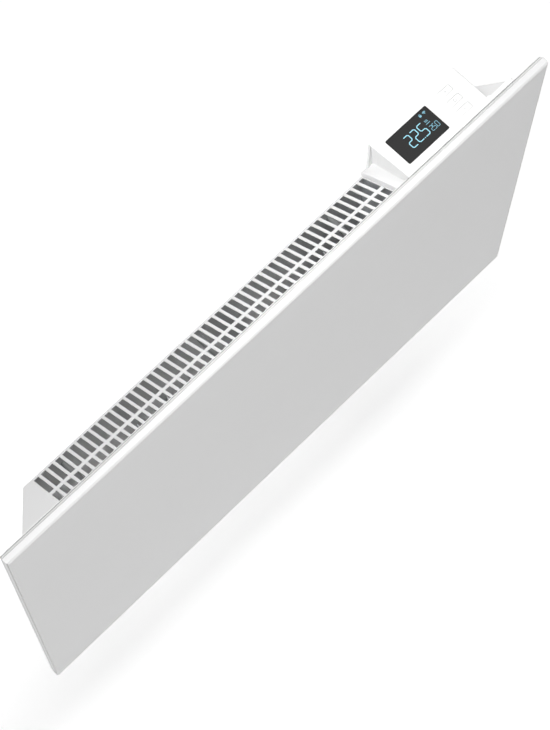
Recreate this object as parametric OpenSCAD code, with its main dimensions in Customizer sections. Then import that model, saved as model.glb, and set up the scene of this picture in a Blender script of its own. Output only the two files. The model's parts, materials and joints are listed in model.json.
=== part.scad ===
// Wall panel convector heater: a folded steel front panel, a pressed rear casing with a sloping grille,
// a moulded control housing with display and three push buttons, a finned element, its electronics,
// and the bracket that it hangs on. X runs along the wall, Y points into the wall and Z points up.
// The origin is the centre of the four wall screws, on the wall's face. The front faces -Y.

/* [Front panel] */
// Width of the front panel
panel_w = 595; // [575:5:900]
// Height of the front panel
panel_h = 400; // [380:5:520]
// Thickness of the front panel's sheet
panel_t = 1.2; // [0.8:0.1:1.6]
// Depth of the folded edges
fold_d = 10.1; // [9:0.1:13]
// Outer bend radius between the face and the folds
front_bend_r = 2; // [1.8:0.1:3]
// Outer bend radius between the folds and the lips behind them
back_bend_r = 3.5; // [2.2:0.1:4]
// Height of the lips behind the folds
lip_h = 14; // [13:0.5:16]

/* [Rear casing] */
// Depth from the panel's face to the casing's back
casing_d = 52.5; // [50:0.5:70]
// Thickness of the casing's sheet
casing_t = 0.8; // [0.6:0.1:1.2]
// Drop from the panel's top edge to the back edge of the grille
top_drop = 53.1; // [50:0.1:60]
// Inset of the casing's back from each end of the panel
side_inset = 55.8; // [52:0.1:64]
// Slope of the grille, in degrees
grille_slope = 35.7; // [33:0.1:38]
// Splay of the casing's ends, in degrees
side_splay = 39.9; // [36:0.1:42]
// Gap between the casing's back and the wall
wall_gap = 22; // [18:0.5:30]

/* [Grille] */
// Pitch of the air slots
slot_pitch = 7.55; // [6:0.05:10]
// Width of an air slot
slot_w = 4.9; // [3:0.1:5.8]
// Length of the long slots, along the slope
long_slot_l = 25.1; // [20:0.1:26]
// Length of the short slots, along the slope
short_slot_l = 15; // [8:0.5:16]
// Width of the bridge between the two rows of slots
slot_bridge = 3.5; // [2:0.1:5]
// Distance from the panel's left end to the first slot's centre
first_slot_x = 67.4; // [62:0.1:90]

/* [Control housing] */
// Width of the housing's raised box
housing_w = 98; // [94:0.5:104]
// Distance from the panel's right end to the raised box
housing_right = 58.7; // [56:0.1:64]
// Wall of the housing
housing_wall = 2.2; // [1.8:0.1:2.4]
// Thickness of the housing's top
housing_top_t = 2.4; // [2.2:0.1:2.6]
// Height of the sloping ledge above the grille
ledge_rise = 8.3; // [7:0.1:10]
// Reach of the ledge to the left of the raised box
ledge_reach = 5.5; // [4:0.1:8]
// Lean of the raised box's sides, in degrees
side_lean = 7; // [4:0.5:8]

/* [Display and buttons] */
// Gap between the display window and the buttons
window_button_gap = 13.85; // [12:0.05:16]
// Depth of the display window
window_d = 27.8; // [26:0.1:29]
// Distance from the raised box's left edge to the window
window_x = 10.2; // [9.5:0.1:12]
// Width of a button
button_w = 13.3; // [10:0.1:14]
// Depth of a button
button_d = 6; // [5:0.1:6.5]
// Pitch of the three buttons
button_pitch = 10.85; // [9.6:0.05:11]
// Gap round a button
button_gap = 0.35; // [0.25:0.05:0.45]
// Travel of a button
button_travel = 0.7; // [0.3:0.05:0.75]

/* [Heating element] */
// Height of the element's fins
fin_h = 46; // [30:1:56]
// Depth of the element's fins
fin_d = 26; // [18:1:28]
// Pitch of the fins
fin_pitch = 8; // [6:0.5:14]
// Thickness of a fin
fin_t = 1.4; // [1:0.1:2]
// Height of the element's centre above the panel's bottom edge
element_rise = 105; // [100:1:125]

/* [Wall bracket] */
// Spacing of the wall screws along the wall
screw_dx = 220; // [190:5:225]
// Spacing of the wall screws up the wall
screw_dz = 110; // [104:1:116]
// Radius of a wall screw slot, half its width
screw_slot_r = 3; // [2.5:0.1:4]
// Length of a wall screw slot, end to end
screw_slot_l = 12; // [10:0.5:16]
// Thickness of the bracket's sheet
bracket_t = 1.5; // [1.2:0.1:2]
// Width of a bracket rail
rail_w = 36; // [30:1:44]

/* [Hidden] */
$fn = 48;
// Overrun of every cut
over = 0.5;
// Clearance of fixed pieces that go through holes
fit = 0.1;
// Segments of a sheet's bend
bend_steps = 5;

// Planes of the body
front_y = -casing_d - wall_gap;
back_y = -wall_gap;
inner_y = back_y - casing_t;
face_y = front_y + panel_t;
flange_y = front_y + fold_d;
top = panel_h / 2;
half_w = panel_w / 2;

// Casing details
casing_bend_r = 2.5;
flange_margin = 5.5;
flange_corner_r = 4;
corner_relief = 7;
slot_back_margin = 2.6;

// Screws that hold the casing to the panel's lips
casing_screw_r = 1.5;
casing_screw_l = 5;
casing_head_r = 3.2;
casing_head_h = 1.8;
casing_screw_inset = 9.8;
top_screw_shares = [-0.43, -0.15, 0.13];
bottom_screw_shares = [-0.43, -0.15, 0.15, 0.43];
side_screw_shares = [-0.3, 0, 0.3];

// Places of the control housing
housing_clear = 0.2;
housing_y = flange_y + casing_t + housing_clear;
housing_x1 = half_w - housing_right;
housing_x0 = housing_x1 - housing_w;
ledge_x0 = housing_x0 - ledge_reach;
strip_reach = 27;
strip_t = 2.2;
housing_boss_r = 3.5;
housing_screw_r = 1.5;
housing_screw_l = 10;
housing_head_r = 2.8;
housing_head_h = 1.8;
cable_window_l = 18;

// Display and control board
button_right = 21;
window_w = housing_w - window_x - window_button_gap - button_w / 2 - button_right;
window_t = 1.6;
window_gap = 0.15;
window_lip = 2.5;
window_front = 16.4;
module_t = 5;
module_inset = 0.9;
module_gap = 0.1;
board_t = 1.6;
control_board_inset = 2.6;
control_screw_r = 1.2;
control_screw_l = 4;
control_head_r = 2.2;
control_head_h = 1.4;
control_boss_r = 2.7;

// Buttons and switches
button_flange = 0.9;
button_flange_t = 1;
button_flange_gap = 0.2;
stem_r = 1.4;
stem_l = 0.4;
switch_w = 6;
switch_bore_r = 1.8;
switch_floor = 0.4;
plunger_r = 1.7;
press_clear = 0.2;

// Element and its carriers
element_margin = 22;
spine_t = 4;
element_r = 4;
element_core_r = 7;
element_clear = 0.1;
carrier_t = 1.2;
carrier_foot = 14;
carrier_margin = 6;
carrier_gap = 8;
bush_r = 9;
bush_neck_r = 6.5;
bush_flange_t = 3;
bush_bore_clear = 0.1;
terminal_r = 2;
terminal_l = 9;
tube_reach = 12;
blade_w = 6.3;
blade_t = 0.8;

// Heat shield and its posts
shield_t = 0.6;
shield_gap = 6;
shield_bottom_gap = 20;
shield_top_gap = 50;
post_r = 3;
post_drop = 14;
post_top = 75;
post_shares = [0.08, 0.5, 0.92];

// Compartment wall
compartment_w = 104.4;
comp_clear = 0.3;
comp_foot = 10;
grommet_r = 7;
grommet_bore_r = 3.5;
grommet_lip = 1.5;
grommet_lip_t = 1.2;
grommet_rise = 70;

// Thermal cut-out
cutout_rise = 14;
cutout_r = 7.5;
cutout_h = 8;
cutout_flange_r = 10;
cutout_flange_t = 1;
cutout_share = 0.72;
cutout_plate_w = 24;
cutout_tab = 6;
cutout_tab_w = 4;

// Power board
power_board_w = 80;
power_board_h = 100;
power_board_margin = 12;
power_board_share = 0.055;
standoff_r = 3;
standoff_h = 8;
standoff_inset = 5;
board_screw_r = 1.4;
board_screw_l = 5;
board_head_r = 2.6;
board_head_h = 1.6;
relay_size = [20, 16, 25];
relay_place = [power_board_w * 0.175, 34];
supply_size = [32, 20, 24];
supply_place = [power_board_w / 2, 44];
connector_margin = 17;
connector_size = [power_board_w - connector_margin * 2, 12, 14];
connector_place = [connector_margin, 3];
header_size = [20, 6, 8];
header_place = [power_board_w * 3 / 8, 88];

// Terminal block, earth stud, clamp and gland
block_pole_w = 13;
block_poles = 3;
block_d = 16;
block_h = 20;
block_share = 0.395;
block_x = 20;
block_wire_r = 2.4;
block_screw_r = 2;
block_screw_h = 5;
stud_r = 2;
stud_l = 13;
stud_x = 82;
stud_share = 0.34;
nut_r = 4;
nut_h = 3;
lug_r = 4.5;
lug_t = 0.8;
clamp_w = 30;
clamp_d = 10;
clamp_h = 12;
clamp_share = 0.76;
clamp_screw_r = 1.5;
clamp_head_r = 3;
clamp_head_h = 1.8;
gland_x = 52;
gland_back = 23;
gland_r = 6;
gland_bore_r = 3.75;
gland_cap_r = 10;
gland_cap_h = 9;
gland_dome_h = 5;
gland_in_l = 9;
locknut_r = 9;
locknut_h = 4;

// Temperature sensor
sensor_r = 2.5;
sensor_l = 20;
sensor_x = 90;
sensor_share = 0.76;
clip_w = 9;
clip_h = 8;
clip_reach = 12;
sensor_clear = 0.1;

// Wires
wire_r = 1.3;
thin_wire_r = 0.9;
wire_clear = 0.5;
ribbon_w = 15;
ribbon_t = 1;
ribbon_offset = 4;
cable_window_gap = 7.5;
cable_window_w = ribbon_w + cable_window_gap * 2;

// Wall bracket, hooks, clips and bumpers
rail_top = 70;
rail_bottom = 80;
strip_h = 30;
hook_z = 44;
hook_neck = 6;
hook_finger = 18;
hook_reach = 6.2;
hook_gap = 0.4;
hook_slot_gap = 0.75;
hook_lift = 16;
clip_block_w = 20;
clip_block_h = 12;
clip_block_z = -36;
clip_tongue_w = 8;
clip_tongue_h = 4;
clip_reach_in = 6;
clip_barb_h = 2.5;
clip_barb_t = 2.5;
clip_hole_gap = 0.6;
clip_hole_w = clip_tongue_w + clip_hole_gap * 2;
bumper_r = 8;
bumper_stem_r = 3;
bumper_cap_r = 4.5;
bumper_cap_t = 2;
bumper_x = 22;
bumper_rise = 13;

// Heights inside the casing, as shares of half its back's height
back_top = top - top_drop;
power_board_z = -back_top * power_board_share;
block_z = -back_top * block_share;
stud_z = -back_top * stud_share;
clamp_z = -back_top * clamp_share;
sensor_z = -back_top * sensor_share;

// Height of the casing's outer top face, and reach of its outer end face, at a given depth
function top_z(y) = back_top + (back_y - y) * tan(grille_slope);
function end_x(y) = half_w - side_inset + (back_y - y) * tan(side_splay);

// Points of one rounded corner between its two neighbours
function unit(v) = v / norm(v);
function corner_points(before, corner, after, r) =
    let (u = unit(before - corner))
    let (v = unit(after - corner))
    let (open = acos(u * v))
    let (turn = 180 - open)
    let (mid = corner + unit(u + v) * r / sin(open / 2))
    let (from = corner + u * r / tan(open / 2) - mid)
    let (to = corner + v * r / tan(open / 2) - mid)
    [for (i = [0 : bend_steps])
        mid + (from * sin(turn * (1 - i / bend_steps)) + to * sin(turn * i / bend_steps)) / sin(turn)];

// A four-cornered outline with its own radius at each corner, or none
function rounded_outline(points, radii) =
    let (n = len(points))
    [for (i = [0 : n - 1])
        each (radii[i] > 0
            ? corner_points(points[(i + n - 1) % n], points[i], points[(i + 1) % n], radii[i])
            : [points[i]])];

// Places an outline drawn in depth and height, and runs it along X
module along_x(x0, x1) {
    translate([x0, 0, 0]) rotate([90, 0, 90]) linear_extrude(height = x1 - x0) children();
}

// Places an outline drawn in width and height, and runs it along Y
module along_y(y0, y1) {
    translate([0, y1, 0]) rotate([90, 0, 0]) linear_extrude(height = y1 - y0) children();
}

module along_z(z0, z1) {
    translate([0, 0, z0]) linear_extrude(height = z1 - z0) children();
}

module block(low, high) {
    translate(low) cube(high - low);
}

// A round bar from one point to another along Y
module bar_y(x, z, y0, y1, r) {
    translate([x, y1, z]) rotate([90, 0, 0]) cylinder(h = y1 - y0, r = r);
}

module bar_x(y, z, x0, x1, r) {
    translate([x0, y, z]) rotate([0, 90, 0]) cylinder(h = x1 - x0, r = r);
}

// Local frame on the grille: X along it, -Y up the slope, Z out of the sheet, origin at its back edge
module on_grille() {
    translate([0, back_y, top_z(back_y)]) rotate([-grille_slope, 0, 0]) children();
}

// A wire swept along its route, with a mitred ring at each point
wire_sides = 8;
function route_dir(points, i) = unit(points[i + 1] - points[i]);
function ring_dir(points, i) =
    i == 0 ? route_dir(points, 0)
    : i == len(points) - 1 ? route_dir(points, i - 1)
    : unit(route_dir(points, i - 1) + route_dir(points, i));
function first_ring(points, r) =
    let (along = route_dir(points, 0))
    let (across = unit(cross(along, abs(along[2]) < 0.9 ? [0, 0, 1] : [1, 0, 0])))
    let (up = cross(along, across))
    [for (k = [0 : wire_sides - 1])
        points[0] + (across * cos(360 * k / wire_sides) + up * sin(360 * k / wire_sides)) * r];
function next_rings(points, i, ring) =
    i == len(points) - 1 ? ring
    : let (along = route_dir(points, i))
      let (plane = ring_dir(points, i + 1))
      let (moved = [for (p = ring) p + along * ((points[i + 1] - p) * plane) / (along * plane)])
      concat(ring, next_rings(points, i + 1, moved));

module wire(points, r) {
    rings = len(points);
    last = (rings - 1) * wire_sides;
    polyhedron(
        points = next_rings(points, 0, first_ring(points, r)),
        faces = concat(
            [[for (k = [0 : wire_sides - 1]) k]],
            [[for (k = [wire_sides - 1 : -1 : 0]) last + k]],
            [for (i = [0 : rings - 2], k = [0 : wire_sides - 1])
                let (a = i * wire_sides + k)
                let (b = i * wire_sides + (k + 1) % wire_sides)
                [a, a + wire_sides, b + wire_sides, b]]));
}

// The pan of the front panel, taken in by a sheet's thickness for its inside
module pan_block(inset) {
    front_r = front_bend_r - inset;
    back_r = back_bend_r - inset;
    y0 = front_y + inset;
    y1 = flange_y - inset;
    z1 = top - inset;
    x1 = half_w - inset;
    intersection() {
        along_x(-half_w, half_w)
            polygon(rounded_outline([[y0, -z1], [y0, z1], [y1, z1], [y1, -z1]],
                [front_r, front_r, back_r, back_r]));
        along_z(-top, top)
            polygon(rounded_outline([[-x1, y0], [x1, y0], [x1, y1], [-x1, y1]],
                [front_r, front_r, back_r, back_r]));
    }
}

// Places of the screws through the casing's flange
module at_casing_screws() {
    for (share = top_screw_shares) translate([share * panel_w, 0, top - casing_screw_inset]) children();
    for (share = bottom_screw_shares) translate([share * panel_w, 0, casing_screw_inset - top]) children();
    for (side = [-1, 1], share = side_screw_shares)
        translate([side * (half_w - casing_screw_inset), 0, share * panel_h]) children();
}

module front_panel() {
    color([0.93, 0.93, 0.93])
    difference() {
        pan_block(0);
        pan_block(panel_t);
        block([lip_h - half_w, flange_y - panel_t - over, lip_h - top],
            [half_w - lip_h, flange_y + over, top - lip_h]);
        for (side = [-1, 1])
            translate([side * half_w, front_y + front_bend_r + fold_d / 2,
                    (corner_relief + back_bend_r) / 2 - top])
            cube([lip_h * 2, fold_d, corner_relief - back_bend_r], center = true);
        at_casing_screws() bar_y(0, 0, flange_y - panel_t - over, flange_y + over, casing_screw_r + fit);
    }
}

// The casing's truncated pyramid, taken in by a sheet's thickness for its inside
module casing_block(inset, y0) {
    y1 = back_y - inset;
    lift = inset / cos(grille_slope);
    widen = inset / cos(side_splay);
    r = casing_bend_r - inset;
    intersection() {
        along_x(-half_w, half_w)
            polygon(rounded_outline([[y0, lift - top_z(y0)], [y0, top_z(y0) - lift],
                [y1, top_z(y1) - lift], [y1, lift - top_z(y1)]], [0, 0, r, r]));
        along_z(-top, top)
            polygon(rounded_outline([[widen - end_x(y0), y0], [end_x(y0) - widen, y0],
                [end_x(y1) - widen, y1], [widen - end_x(y1), y1]], [0, 0, r, r]));
    }
}

slot_x0 = first_slot_x - half_w;
slot_n = floor((ledge_x0 - slot_w / 2 - slot_x0) / slot_pitch) + 1;

module slot_row(from, length, count) {
    for (i = [0 : count - 1])
        translate([slot_x0 + i * slot_pitch - slot_w / 2, -from - length, -casing_t - over])
        cube([slot_w, length, casing_t + over + over]);
}

sensor_slots = 4;
sensor_slots_x = housing_x1 - sensor_slots * slot_pitch;
flange_w = panel_w - flange_margin * 2;
flange_h = panel_h - flange_margin * 2;

module rear_casing() {
    color([0.9, 0.9, 0.9])
    difference() {
        union() {
            casing_block(0, flange_y);
            along_y(flange_y, flange_y + casing_t)
                polygon(rounded_outline([[-flange_w / 2, -flange_h / 2], [flange_w / 2, -flange_h / 2],
                    [flange_w / 2, flange_h / 2], [-flange_w / 2, flange_h / 2]],
                    [for (i = [0 : 3]) flange_corner_r]));
        }
        casing_block(casing_t, flange_y - over);
        on_grille() {
            slot_row(slot_back_margin, long_slot_l, slot_n);
            slot_row(slot_back_margin + long_slot_l + slot_bridge, short_slot_l, slot_n);
            translate([ribbon_mid_x, -cable_window_up, -casing_t / 2])
                cube([cable_window_w, cable_window_l, casing_t + over + over], center = true);
        }
        mirror([0, 0, 1]) on_grille() {
            slot_row(slot_back_margin, long_slot_l, slot_n);
            translate([sensor_slots_x - slot_x0, 0, 0]) slot_row(slot_back_margin, long_slot_l, sensor_slots);
        }
        at_housing_screws() translate([0, 0, -casing_t - over])
            cylinder(h = casing_t + over + over, r = housing_screw_r + fit);
        at_gland() translate([0, 0, -casing_t - over])
            cylinder(h = casing_t + over + over, r = gland_r + fit);
        at_casing_screws() bar_y(0, 0, flange_y - over, flange_y + casing_t + over, casing_screw_r + fit);
        at_hooks() block([-hook_slot_gap - bracket_t / 2, inner_y - over, hook_z - hook_lift],
            [hook_slot_gap + bracket_t / 2, back_y + over, hook_z + hook_neck]);
        at_clips() block([-clip_hole_w / 2, inner_y - over, -clip_tongue_h / 2 - clip_hole_gap],
            [clip_hole_w / 2, back_y + over, clip_tongue_h / 2 + clip_barb_h + clip_hole_gap]);
        at_bumpers() bar_y(0, 0, inner_y - over, back_y + over, bumper_stem_r + fit);
    }
}

module casing_screws() {
    color([0.78, 0.79, 0.8])
    at_casing_screws() {
        bar_y(0, 0, flange_y + casing_t - casing_screw_l, flange_y + casing_t, casing_screw_r);
        bar_y(0, 0, flange_y + casing_t, flange_y + casing_t + casing_head_h, casing_head_r);
    }
}

// Compartment wall's faces along X
comp_x0 = half_w - side_inset - compartment_w;
comp_x1 = comp_x0 + casing_t;

// Span and centre of the element
element_x0 = side_inset + element_margin - half_w;
element_x1 = comp_x0 - element_margin;
element_y = (face_y + inner_y) / 2;
element_z = element_rise - top;
carrier_left_x = element_x0 - carrier_gap - carrier_t;
carrier_right_x = element_x1 + carrier_gap;
fin_n = floor((element_x1 - element_x0 - fin_t) / fin_pitch) + 1;
last_fin_x = element_x0 + (fin_n - 1) * fin_pitch + fin_t;

module element_fins() {
    color([0.75, 0.76, 0.78])
    difference() {
        union() {
            block([element_x0, element_y - spine_t / 2, element_z - fin_h / 2],
                [last_fin_x, element_y + spine_t / 2, element_z + fin_h / 2]);
            for (i = [0 : fin_n - 1])
                translate([element_x0 + i * fin_pitch, element_y - fin_d / 2, element_z - fin_h / 2])
                cube([fin_t, fin_d, fin_h]);
            bar_x(element_y, element_z, element_x0, last_fin_x, element_core_r);
        }
        bar_x(element_y, element_z, element_x0 - over, element_x1 + over, element_r + element_clear);
    }
}

module element_tube() {
    color([0.62, 0.62, 0.64])
    bar_x(element_y, element_z, carrier_left_x - bush_flange_t, comp_x1 + tube_reach, element_r);
}

// One carrier: a plate across the air duct with a foot on the casing's back
module element_carrier(x) {
    low = element_z - fin_h / 2 - carrier_margin;
    high = element_z + fin_h / 2 + carrier_margin;
    difference() {
        union() {
            block([x, element_y - fin_d / 2, low], [x + carrier_t, inner_y, high]);
            block([x, inner_y - carrier_t, low], [x + carrier_foot, inner_y, high]);
        }
        bar_x(element_y, element_z, x - over, x + carrier_t + over, bush_neck_r + fit);
    }
}

module element_brackets() {
    color([0.7, 0.7, 0.72]) {
        element_carrier(carrier_left_x);
        element_carrier(carrier_right_x);
    }
}

// One ceramic bush, with its flange on the element's side of the plate
module element_bush(x, flange_side) {
    flange_x = flange_side > 0 ? x + carrier_t : x - bush_flange_t;
    difference() {
        union() {
            bar_x(element_y, element_z, x - bush_flange_t, x + carrier_t + bush_flange_t, bush_neck_r);
            bar_x(element_y, element_z, flange_x, flange_x + bush_flange_t, bush_r);
        }
        bar_x(element_y, element_z, x - bush_flange_t - over, x + carrier_t + bush_flange_t + over,
            element_r + bush_bore_clear);
    }
}

module element_bushes() {
    color([0.95, 0.94, 0.9]) {
        element_bush(carrier_left_x, 1);
        element_bush(carrier_right_x, -1);
    }
}

terminal_x = comp_x1 + tube_reach;

module element_terminals() {
    color([0.8, 0.8, 0.82]) {
        bar_x(element_y, element_z, terminal_x, terminal_x + terminal_l, terminal_r);
        block([terminal_x + terminal_l, element_y - blade_t / 2, element_z - blade_w / 2],
            [terminal_x + terminal_l + blade_w, element_y + blade_t / 2, element_z + blade_w / 2]);
    }
}

shield_y = face_y + shield_gap;
shield_x0 = element_x0 - element_margin / 2;
shield_x1 = comp_x0 - element_margin / 2;

module at_posts() {
    for (share = post_shares, z = [element_z - fin_h / 2 - post_drop, top - post_top])
        translate([shield_x0 + (shield_x1 - shield_x0) * share, 0, z]) children();
}

module heat_shield() {
    color([0.72, 0.73, 0.75])
    block([shield_x0, shield_y, shield_bottom_gap - top],
        [shield_x1, shield_y + shield_t, top - shield_top_gap]);
}

module shield_posts() {
    color([0.66, 0.66, 0.68])
    at_posts() bar_y(0, 0, shield_y + shield_t, inner_y, post_r);
}

cutout_x = element_x0 + (element_x1 - element_x0) * cutout_share;
cutout_z = element_z + fin_h / 2 + cutout_rise;

module cutout_bracket() {
    color([0.7, 0.7, 0.72])
    difference() {
        union() {
            block([cutout_x - cutout_plate_w / 2, element_y - cutout_flange_r, cutout_z],
                [cutout_x + cutout_plate_w / 2, inner_y, cutout_z + carrier_t]);
            block([cutout_x - cutout_plate_w / 2, inner_y - carrier_t, cutout_z],
                [cutout_x + cutout_plate_w / 2, inner_y, cutout_z + carrier_foot]);
        }
        translate([cutout_x, element_y, cutout_z - over])
            cylinder(h = carrier_t + over + over, r = cutout_r - cutout_flange_t);
    }
}

cutout_base_z = cutout_z + carrier_t;

module thermal_cutout() {
    color([0.2, 0.2, 0.22])
    translate([cutout_x, element_y, cutout_base_z]) {
        cylinder(h = cutout_flange_t, r = cutout_flange_r);
        cylinder(h = cutout_h, r = cutout_r);
        for (side = [-1, 1])
            translate([side * cutout_tab_w - blade_t / 2, -cutout_tab_w / 2, cutout_h])
            cube([blade_t, cutout_tab_w, cutout_tab]);
    }
}

grommet_z = element_z + grommet_rise;

// A plate across the whole casing, between the air duct and the electronics
module compartment_wall() {
    y0 = face_y + shield_gap;
    y1 = inner_y;
    drop = (casing_t + comp_clear) / cos(grille_slope);
    color([0.8, 0.8, 0.8])
    difference() {
        union() {
            along_x(comp_x0, comp_x1)
                polygon([[y0, drop - top_z(y0)], [y0, top_z(y0) - drop],
                    [y1, top_z(y1) - drop - casing_bend_r], [y1, casing_bend_r + drop - top_z(y1)]]);
            for (side = [-1, 1])
                block([comp_x0, inner_y - casing_t, side * back_top * 2 / 3 - comp_foot],
                    [comp_x0 + comp_foot, inner_y, side * back_top * 2 / 3 + comp_foot]);
        }
        bar_x(element_y, element_z, comp_x0 - over, comp_x1 + over, element_r + comp_clear);
        bar_x(element_y, grommet_z, comp_x0 - over, comp_x1 + over, grommet_r + fit);
    }
}

module wall_grommet() {
    color([0.35, 0.33, 0.32])
    difference() {
        union() {
            bar_x(element_y, grommet_z, comp_x0 - grommet_lip_t, comp_x1 + grommet_lip_t, grommet_r);
            for (x = [comp_x0 - grommet_lip_t, comp_x1])
                bar_x(element_y, grommet_z, x, x + grommet_lip_t, grommet_r + grommet_lip);
        }
        bar_x(element_y, grommet_z, comp_x0 - grommet_lip_t - over, comp_x1 + grommet_lip_t + over,
            grommet_bore_r);
    }
}

// The power board stands on the casing's back, and its pieces stand on its front face
board_x0 = comp_x1 + power_board_margin;
board_back_y = inner_y - standoff_h;
board_front_y = board_back_y - board_t;

module at_board_corners() {
    for (x = [standoff_inset, power_board_w - standoff_inset],
            z = [standoff_inset, power_board_h - standoff_inset])
        translate([board_x0 + x, 0, power_board_z + z]) children();
}

module on_board(place, size) {
    translate([board_x0 + place[0], board_front_y - size[1], power_board_z + place[1]]) children();
}

module power_board() {
    color([0.12, 0.4, 0.22])
    difference() {
        block([board_x0, board_front_y, power_board_z],
            [board_x0 + power_board_w, board_back_y, power_board_z + power_board_h]);
        at_board_corners() bar_y(0, 0, board_front_y - over, board_back_y + over, board_screw_r + fit);
    }
}

module board_standoffs() {
    color([0.82, 0.72, 0.4])
    difference() {
        at_board_corners() bar_y(0, 0, board_back_y, inner_y, standoff_r);
        at_board_corners()
            bar_y(0, 0, board_back_y - over, board_back_y + board_screw_l, board_screw_r + fit);
    }
}

module board_screws() {
    color([0.78, 0.79, 0.8])
    at_board_corners() {
        bar_y(0, 0, board_front_y, board_front_y + board_screw_l, board_screw_r);
        bar_y(0, 0, board_front_y - board_head_h, board_front_y, board_head_r);
    }
}

module relay() {
    color([0.1, 0.12, 0.16]) on_board(relay_place, relay_size) cube(relay_size);
}

module supply_module() {
    color([0.16, 0.16, 0.17]) on_board(supply_place, supply_size) cube(supply_size);
}

module mains_connector() {
    color([0.9, 0.9, 0.86]) on_board(connector_place, connector_size) cube(connector_size);
}

module ribbon_header() {
    color([0.92, 0.92, 0.9]) on_board(header_place, header_size) cube(header_size);
}

block_x0 = comp_x1 + block_x;
block_front_y = inner_y - block_d;

module at_poles() {
    for (i = [0 : block_poles - 1]) translate([block_x0 + (i + 1 / 2) * block_pole_w, 0, 0]) children();
}

module terminal_block() {
    color([0.93, 0.93, 0.9])
    difference() {
        block([block_x0, block_front_y, block_z],
            [block_x0 + block_poles * block_pole_w, inner_y, block_z + block_h]);
        at_poles() translate([0, inner_y - block_d / 2, block_z - over])
            cylinder(h = block_h / 2 + over, r = block_wire_r);
        at_poles() bar_y(0, block_z + block_h / 4, block_front_y - over, block_front_y + block_screw_h,
            block_screw_r + fit);
    }
}

module terminal_screws() {
    color([0.8, 0.8, 0.78])
    at_poles() bar_y(0, block_z + block_h / 4, block_front_y, block_front_y + block_screw_h, block_screw_r);
}

stud_at_x = comp_x1 + stud_x;

module earth_stud() {
    color([0.75, 0.75, 0.77]) bar_y(stud_at_x, stud_z, inner_y - stud_l, inner_y, stud_r);
}

module earth_nut() {
    color([0.85, 0.75, 0.42])
    difference() {
        translate([stud_at_x, inner_y - lug_t, stud_z]) rotate([90, 0, 0])
            cylinder(h = nut_h, r = nut_r, $fn = 6);
        bar_y(stud_at_x, stud_z, inner_y - lug_t - nut_h - over, inner_y, stud_r + fit);
    }
}

clamp_x = comp_x1 + gland_x;

module at_clamp_screws() {
    for (side = [-1, 1]) translate([clamp_x + side * (clamp_w - clamp_h / 2) / 2, 0, clamp_z]) children();
}

module cord_clamp() {
    color([0.92, 0.92, 0.9])
    difference() {
        block([clamp_x - clamp_w / 2, inner_y - clamp_d, clamp_z - clamp_h / 2],
            [clamp_x + clamp_w / 2, inner_y, clamp_z + clamp_h / 2]);
        translate([clamp_x, inner_y - clamp_d / 2, clamp_z - clamp_h / 2 - over])
            cylinder(h = clamp_h + over + over, r = gland_bore_r);
        at_clamp_screws() bar_y(0, 0, inner_y - clamp_d - over, inner_y + over, clamp_screw_r + fit);
    }
}

module clamp_screws() {
    color([0.78, 0.79, 0.8])
    at_clamp_screws() {
        bar_y(0, 0, inner_y - clamp_d, inner_y, clamp_screw_r);
        bar_y(0, 0, inner_y - clamp_d - clamp_head_h, inner_y - clamp_d, clamp_head_r);
    }
}

// Frame of the gland: on the sloping bottom, with Z out of the casing
module at_gland() {
    mirror([0, 0, 1]) translate([clamp_x, 0, 0]) on_grille()
        translate([0, -gland_back / cos(grille_slope), 0]) children();
}

module cable_gland() {
    color([0.93, 0.93, 0.93])
    at_gland() difference() {
        union() {
            translate([0, 0, -casing_t - gland_in_l]) cylinder(h = casing_t + gland_in_l, r = gland_r);
            cylinder(h = gland_cap_h, r = gland_cap_r);
            translate([0, 0, gland_cap_h])
                cylinder(h = gland_dome_h, r1 = gland_cap_r, r2 = gland_r);
        }
        translate([0, 0, -casing_t - gland_in_l - over])
            cylinder(h = casing_t + gland_in_l + gland_cap_h + gland_dome_h + over + over, r = gland_bore_r);
    }
}

module gland_locknut() {
    color([0.9, 0.9, 0.9])
    at_gland() difference() {
        translate([0, 0, -casing_t - locknut_h]) cylinder(h = locknut_h, r = locknut_r, $fn = 6);
        translate([0, 0, -casing_t - locknut_h - over])
            cylinder(h = locknut_h + over + over, r = gland_r + fit);
    }
}

// Ends of the wires: under the mains connector, and on top of the terminal block
wire_y = board_front_y - connector_size[1] / 2;
connector_x0 = board_x0 + connector_place[0];
connector_z = power_board_z + connector_place[1];
block_top = block_z + block_h;
block_mid_y = inner_y - block_d / 2;
wire_bend = 5;

// A lead from one terminal block pole up to the mains connector
module pole_lead(pole, way) {
    x0 = block_x0 + (pole + 1 / 2) * block_pole_w;
    x1 = connector_x0 + way * connector_size[0];
    wire([[x0, block_mid_y, block_top], [x0, block_mid_y, block_top + wire_bend],
        [x1, wire_y, connector_z - wire_bend], [x1, wire_y, connector_z]], wire_r);
}

live_way_share = 0.43;
neutral_way_share = 0.56;

module live_lead() {
    color([0.42, 0.24, 0.12]) pole_lead(0, live_way_share);
}

module neutral_lead() {
    color([0.15, 0.3, 0.7]) pole_lead(1, neutral_way_share);
}

// The earth lead runs from the third pole to a lug under the earth nut
module earth_lead() {
    x0 = block_x0 + (block_poles - 1 / 2) * block_pole_w;
    color([0.45, 0.65, 0.15]) {
        wire([[x0, block_mid_y, block_top], [x0, block_mid_y, block_top + wire_bend],
            [stud_at_x, block_mid_y, block_top + wire_bend],
            [stud_at_x, inner_y - wire_r, stud_z + lug_r + wire_r + wire_r],
            [stud_at_x, inner_y - wire_r, stud_z + lug_r]], wire_r);
        difference() {
            bar_y(stud_at_x, stud_z, inner_y - lug_t, inner_y, lug_r + lug_t);
            bar_y(stud_at_x, stud_z, inner_y - lug_t - over, inner_y + over, stud_r + fit);
        }
    }
}

element_way_share = 0.3;
cutout_way_shares = [0.04, 0.17];
blade_x = terminal_x + terminal_l + blade_w / 2;

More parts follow.
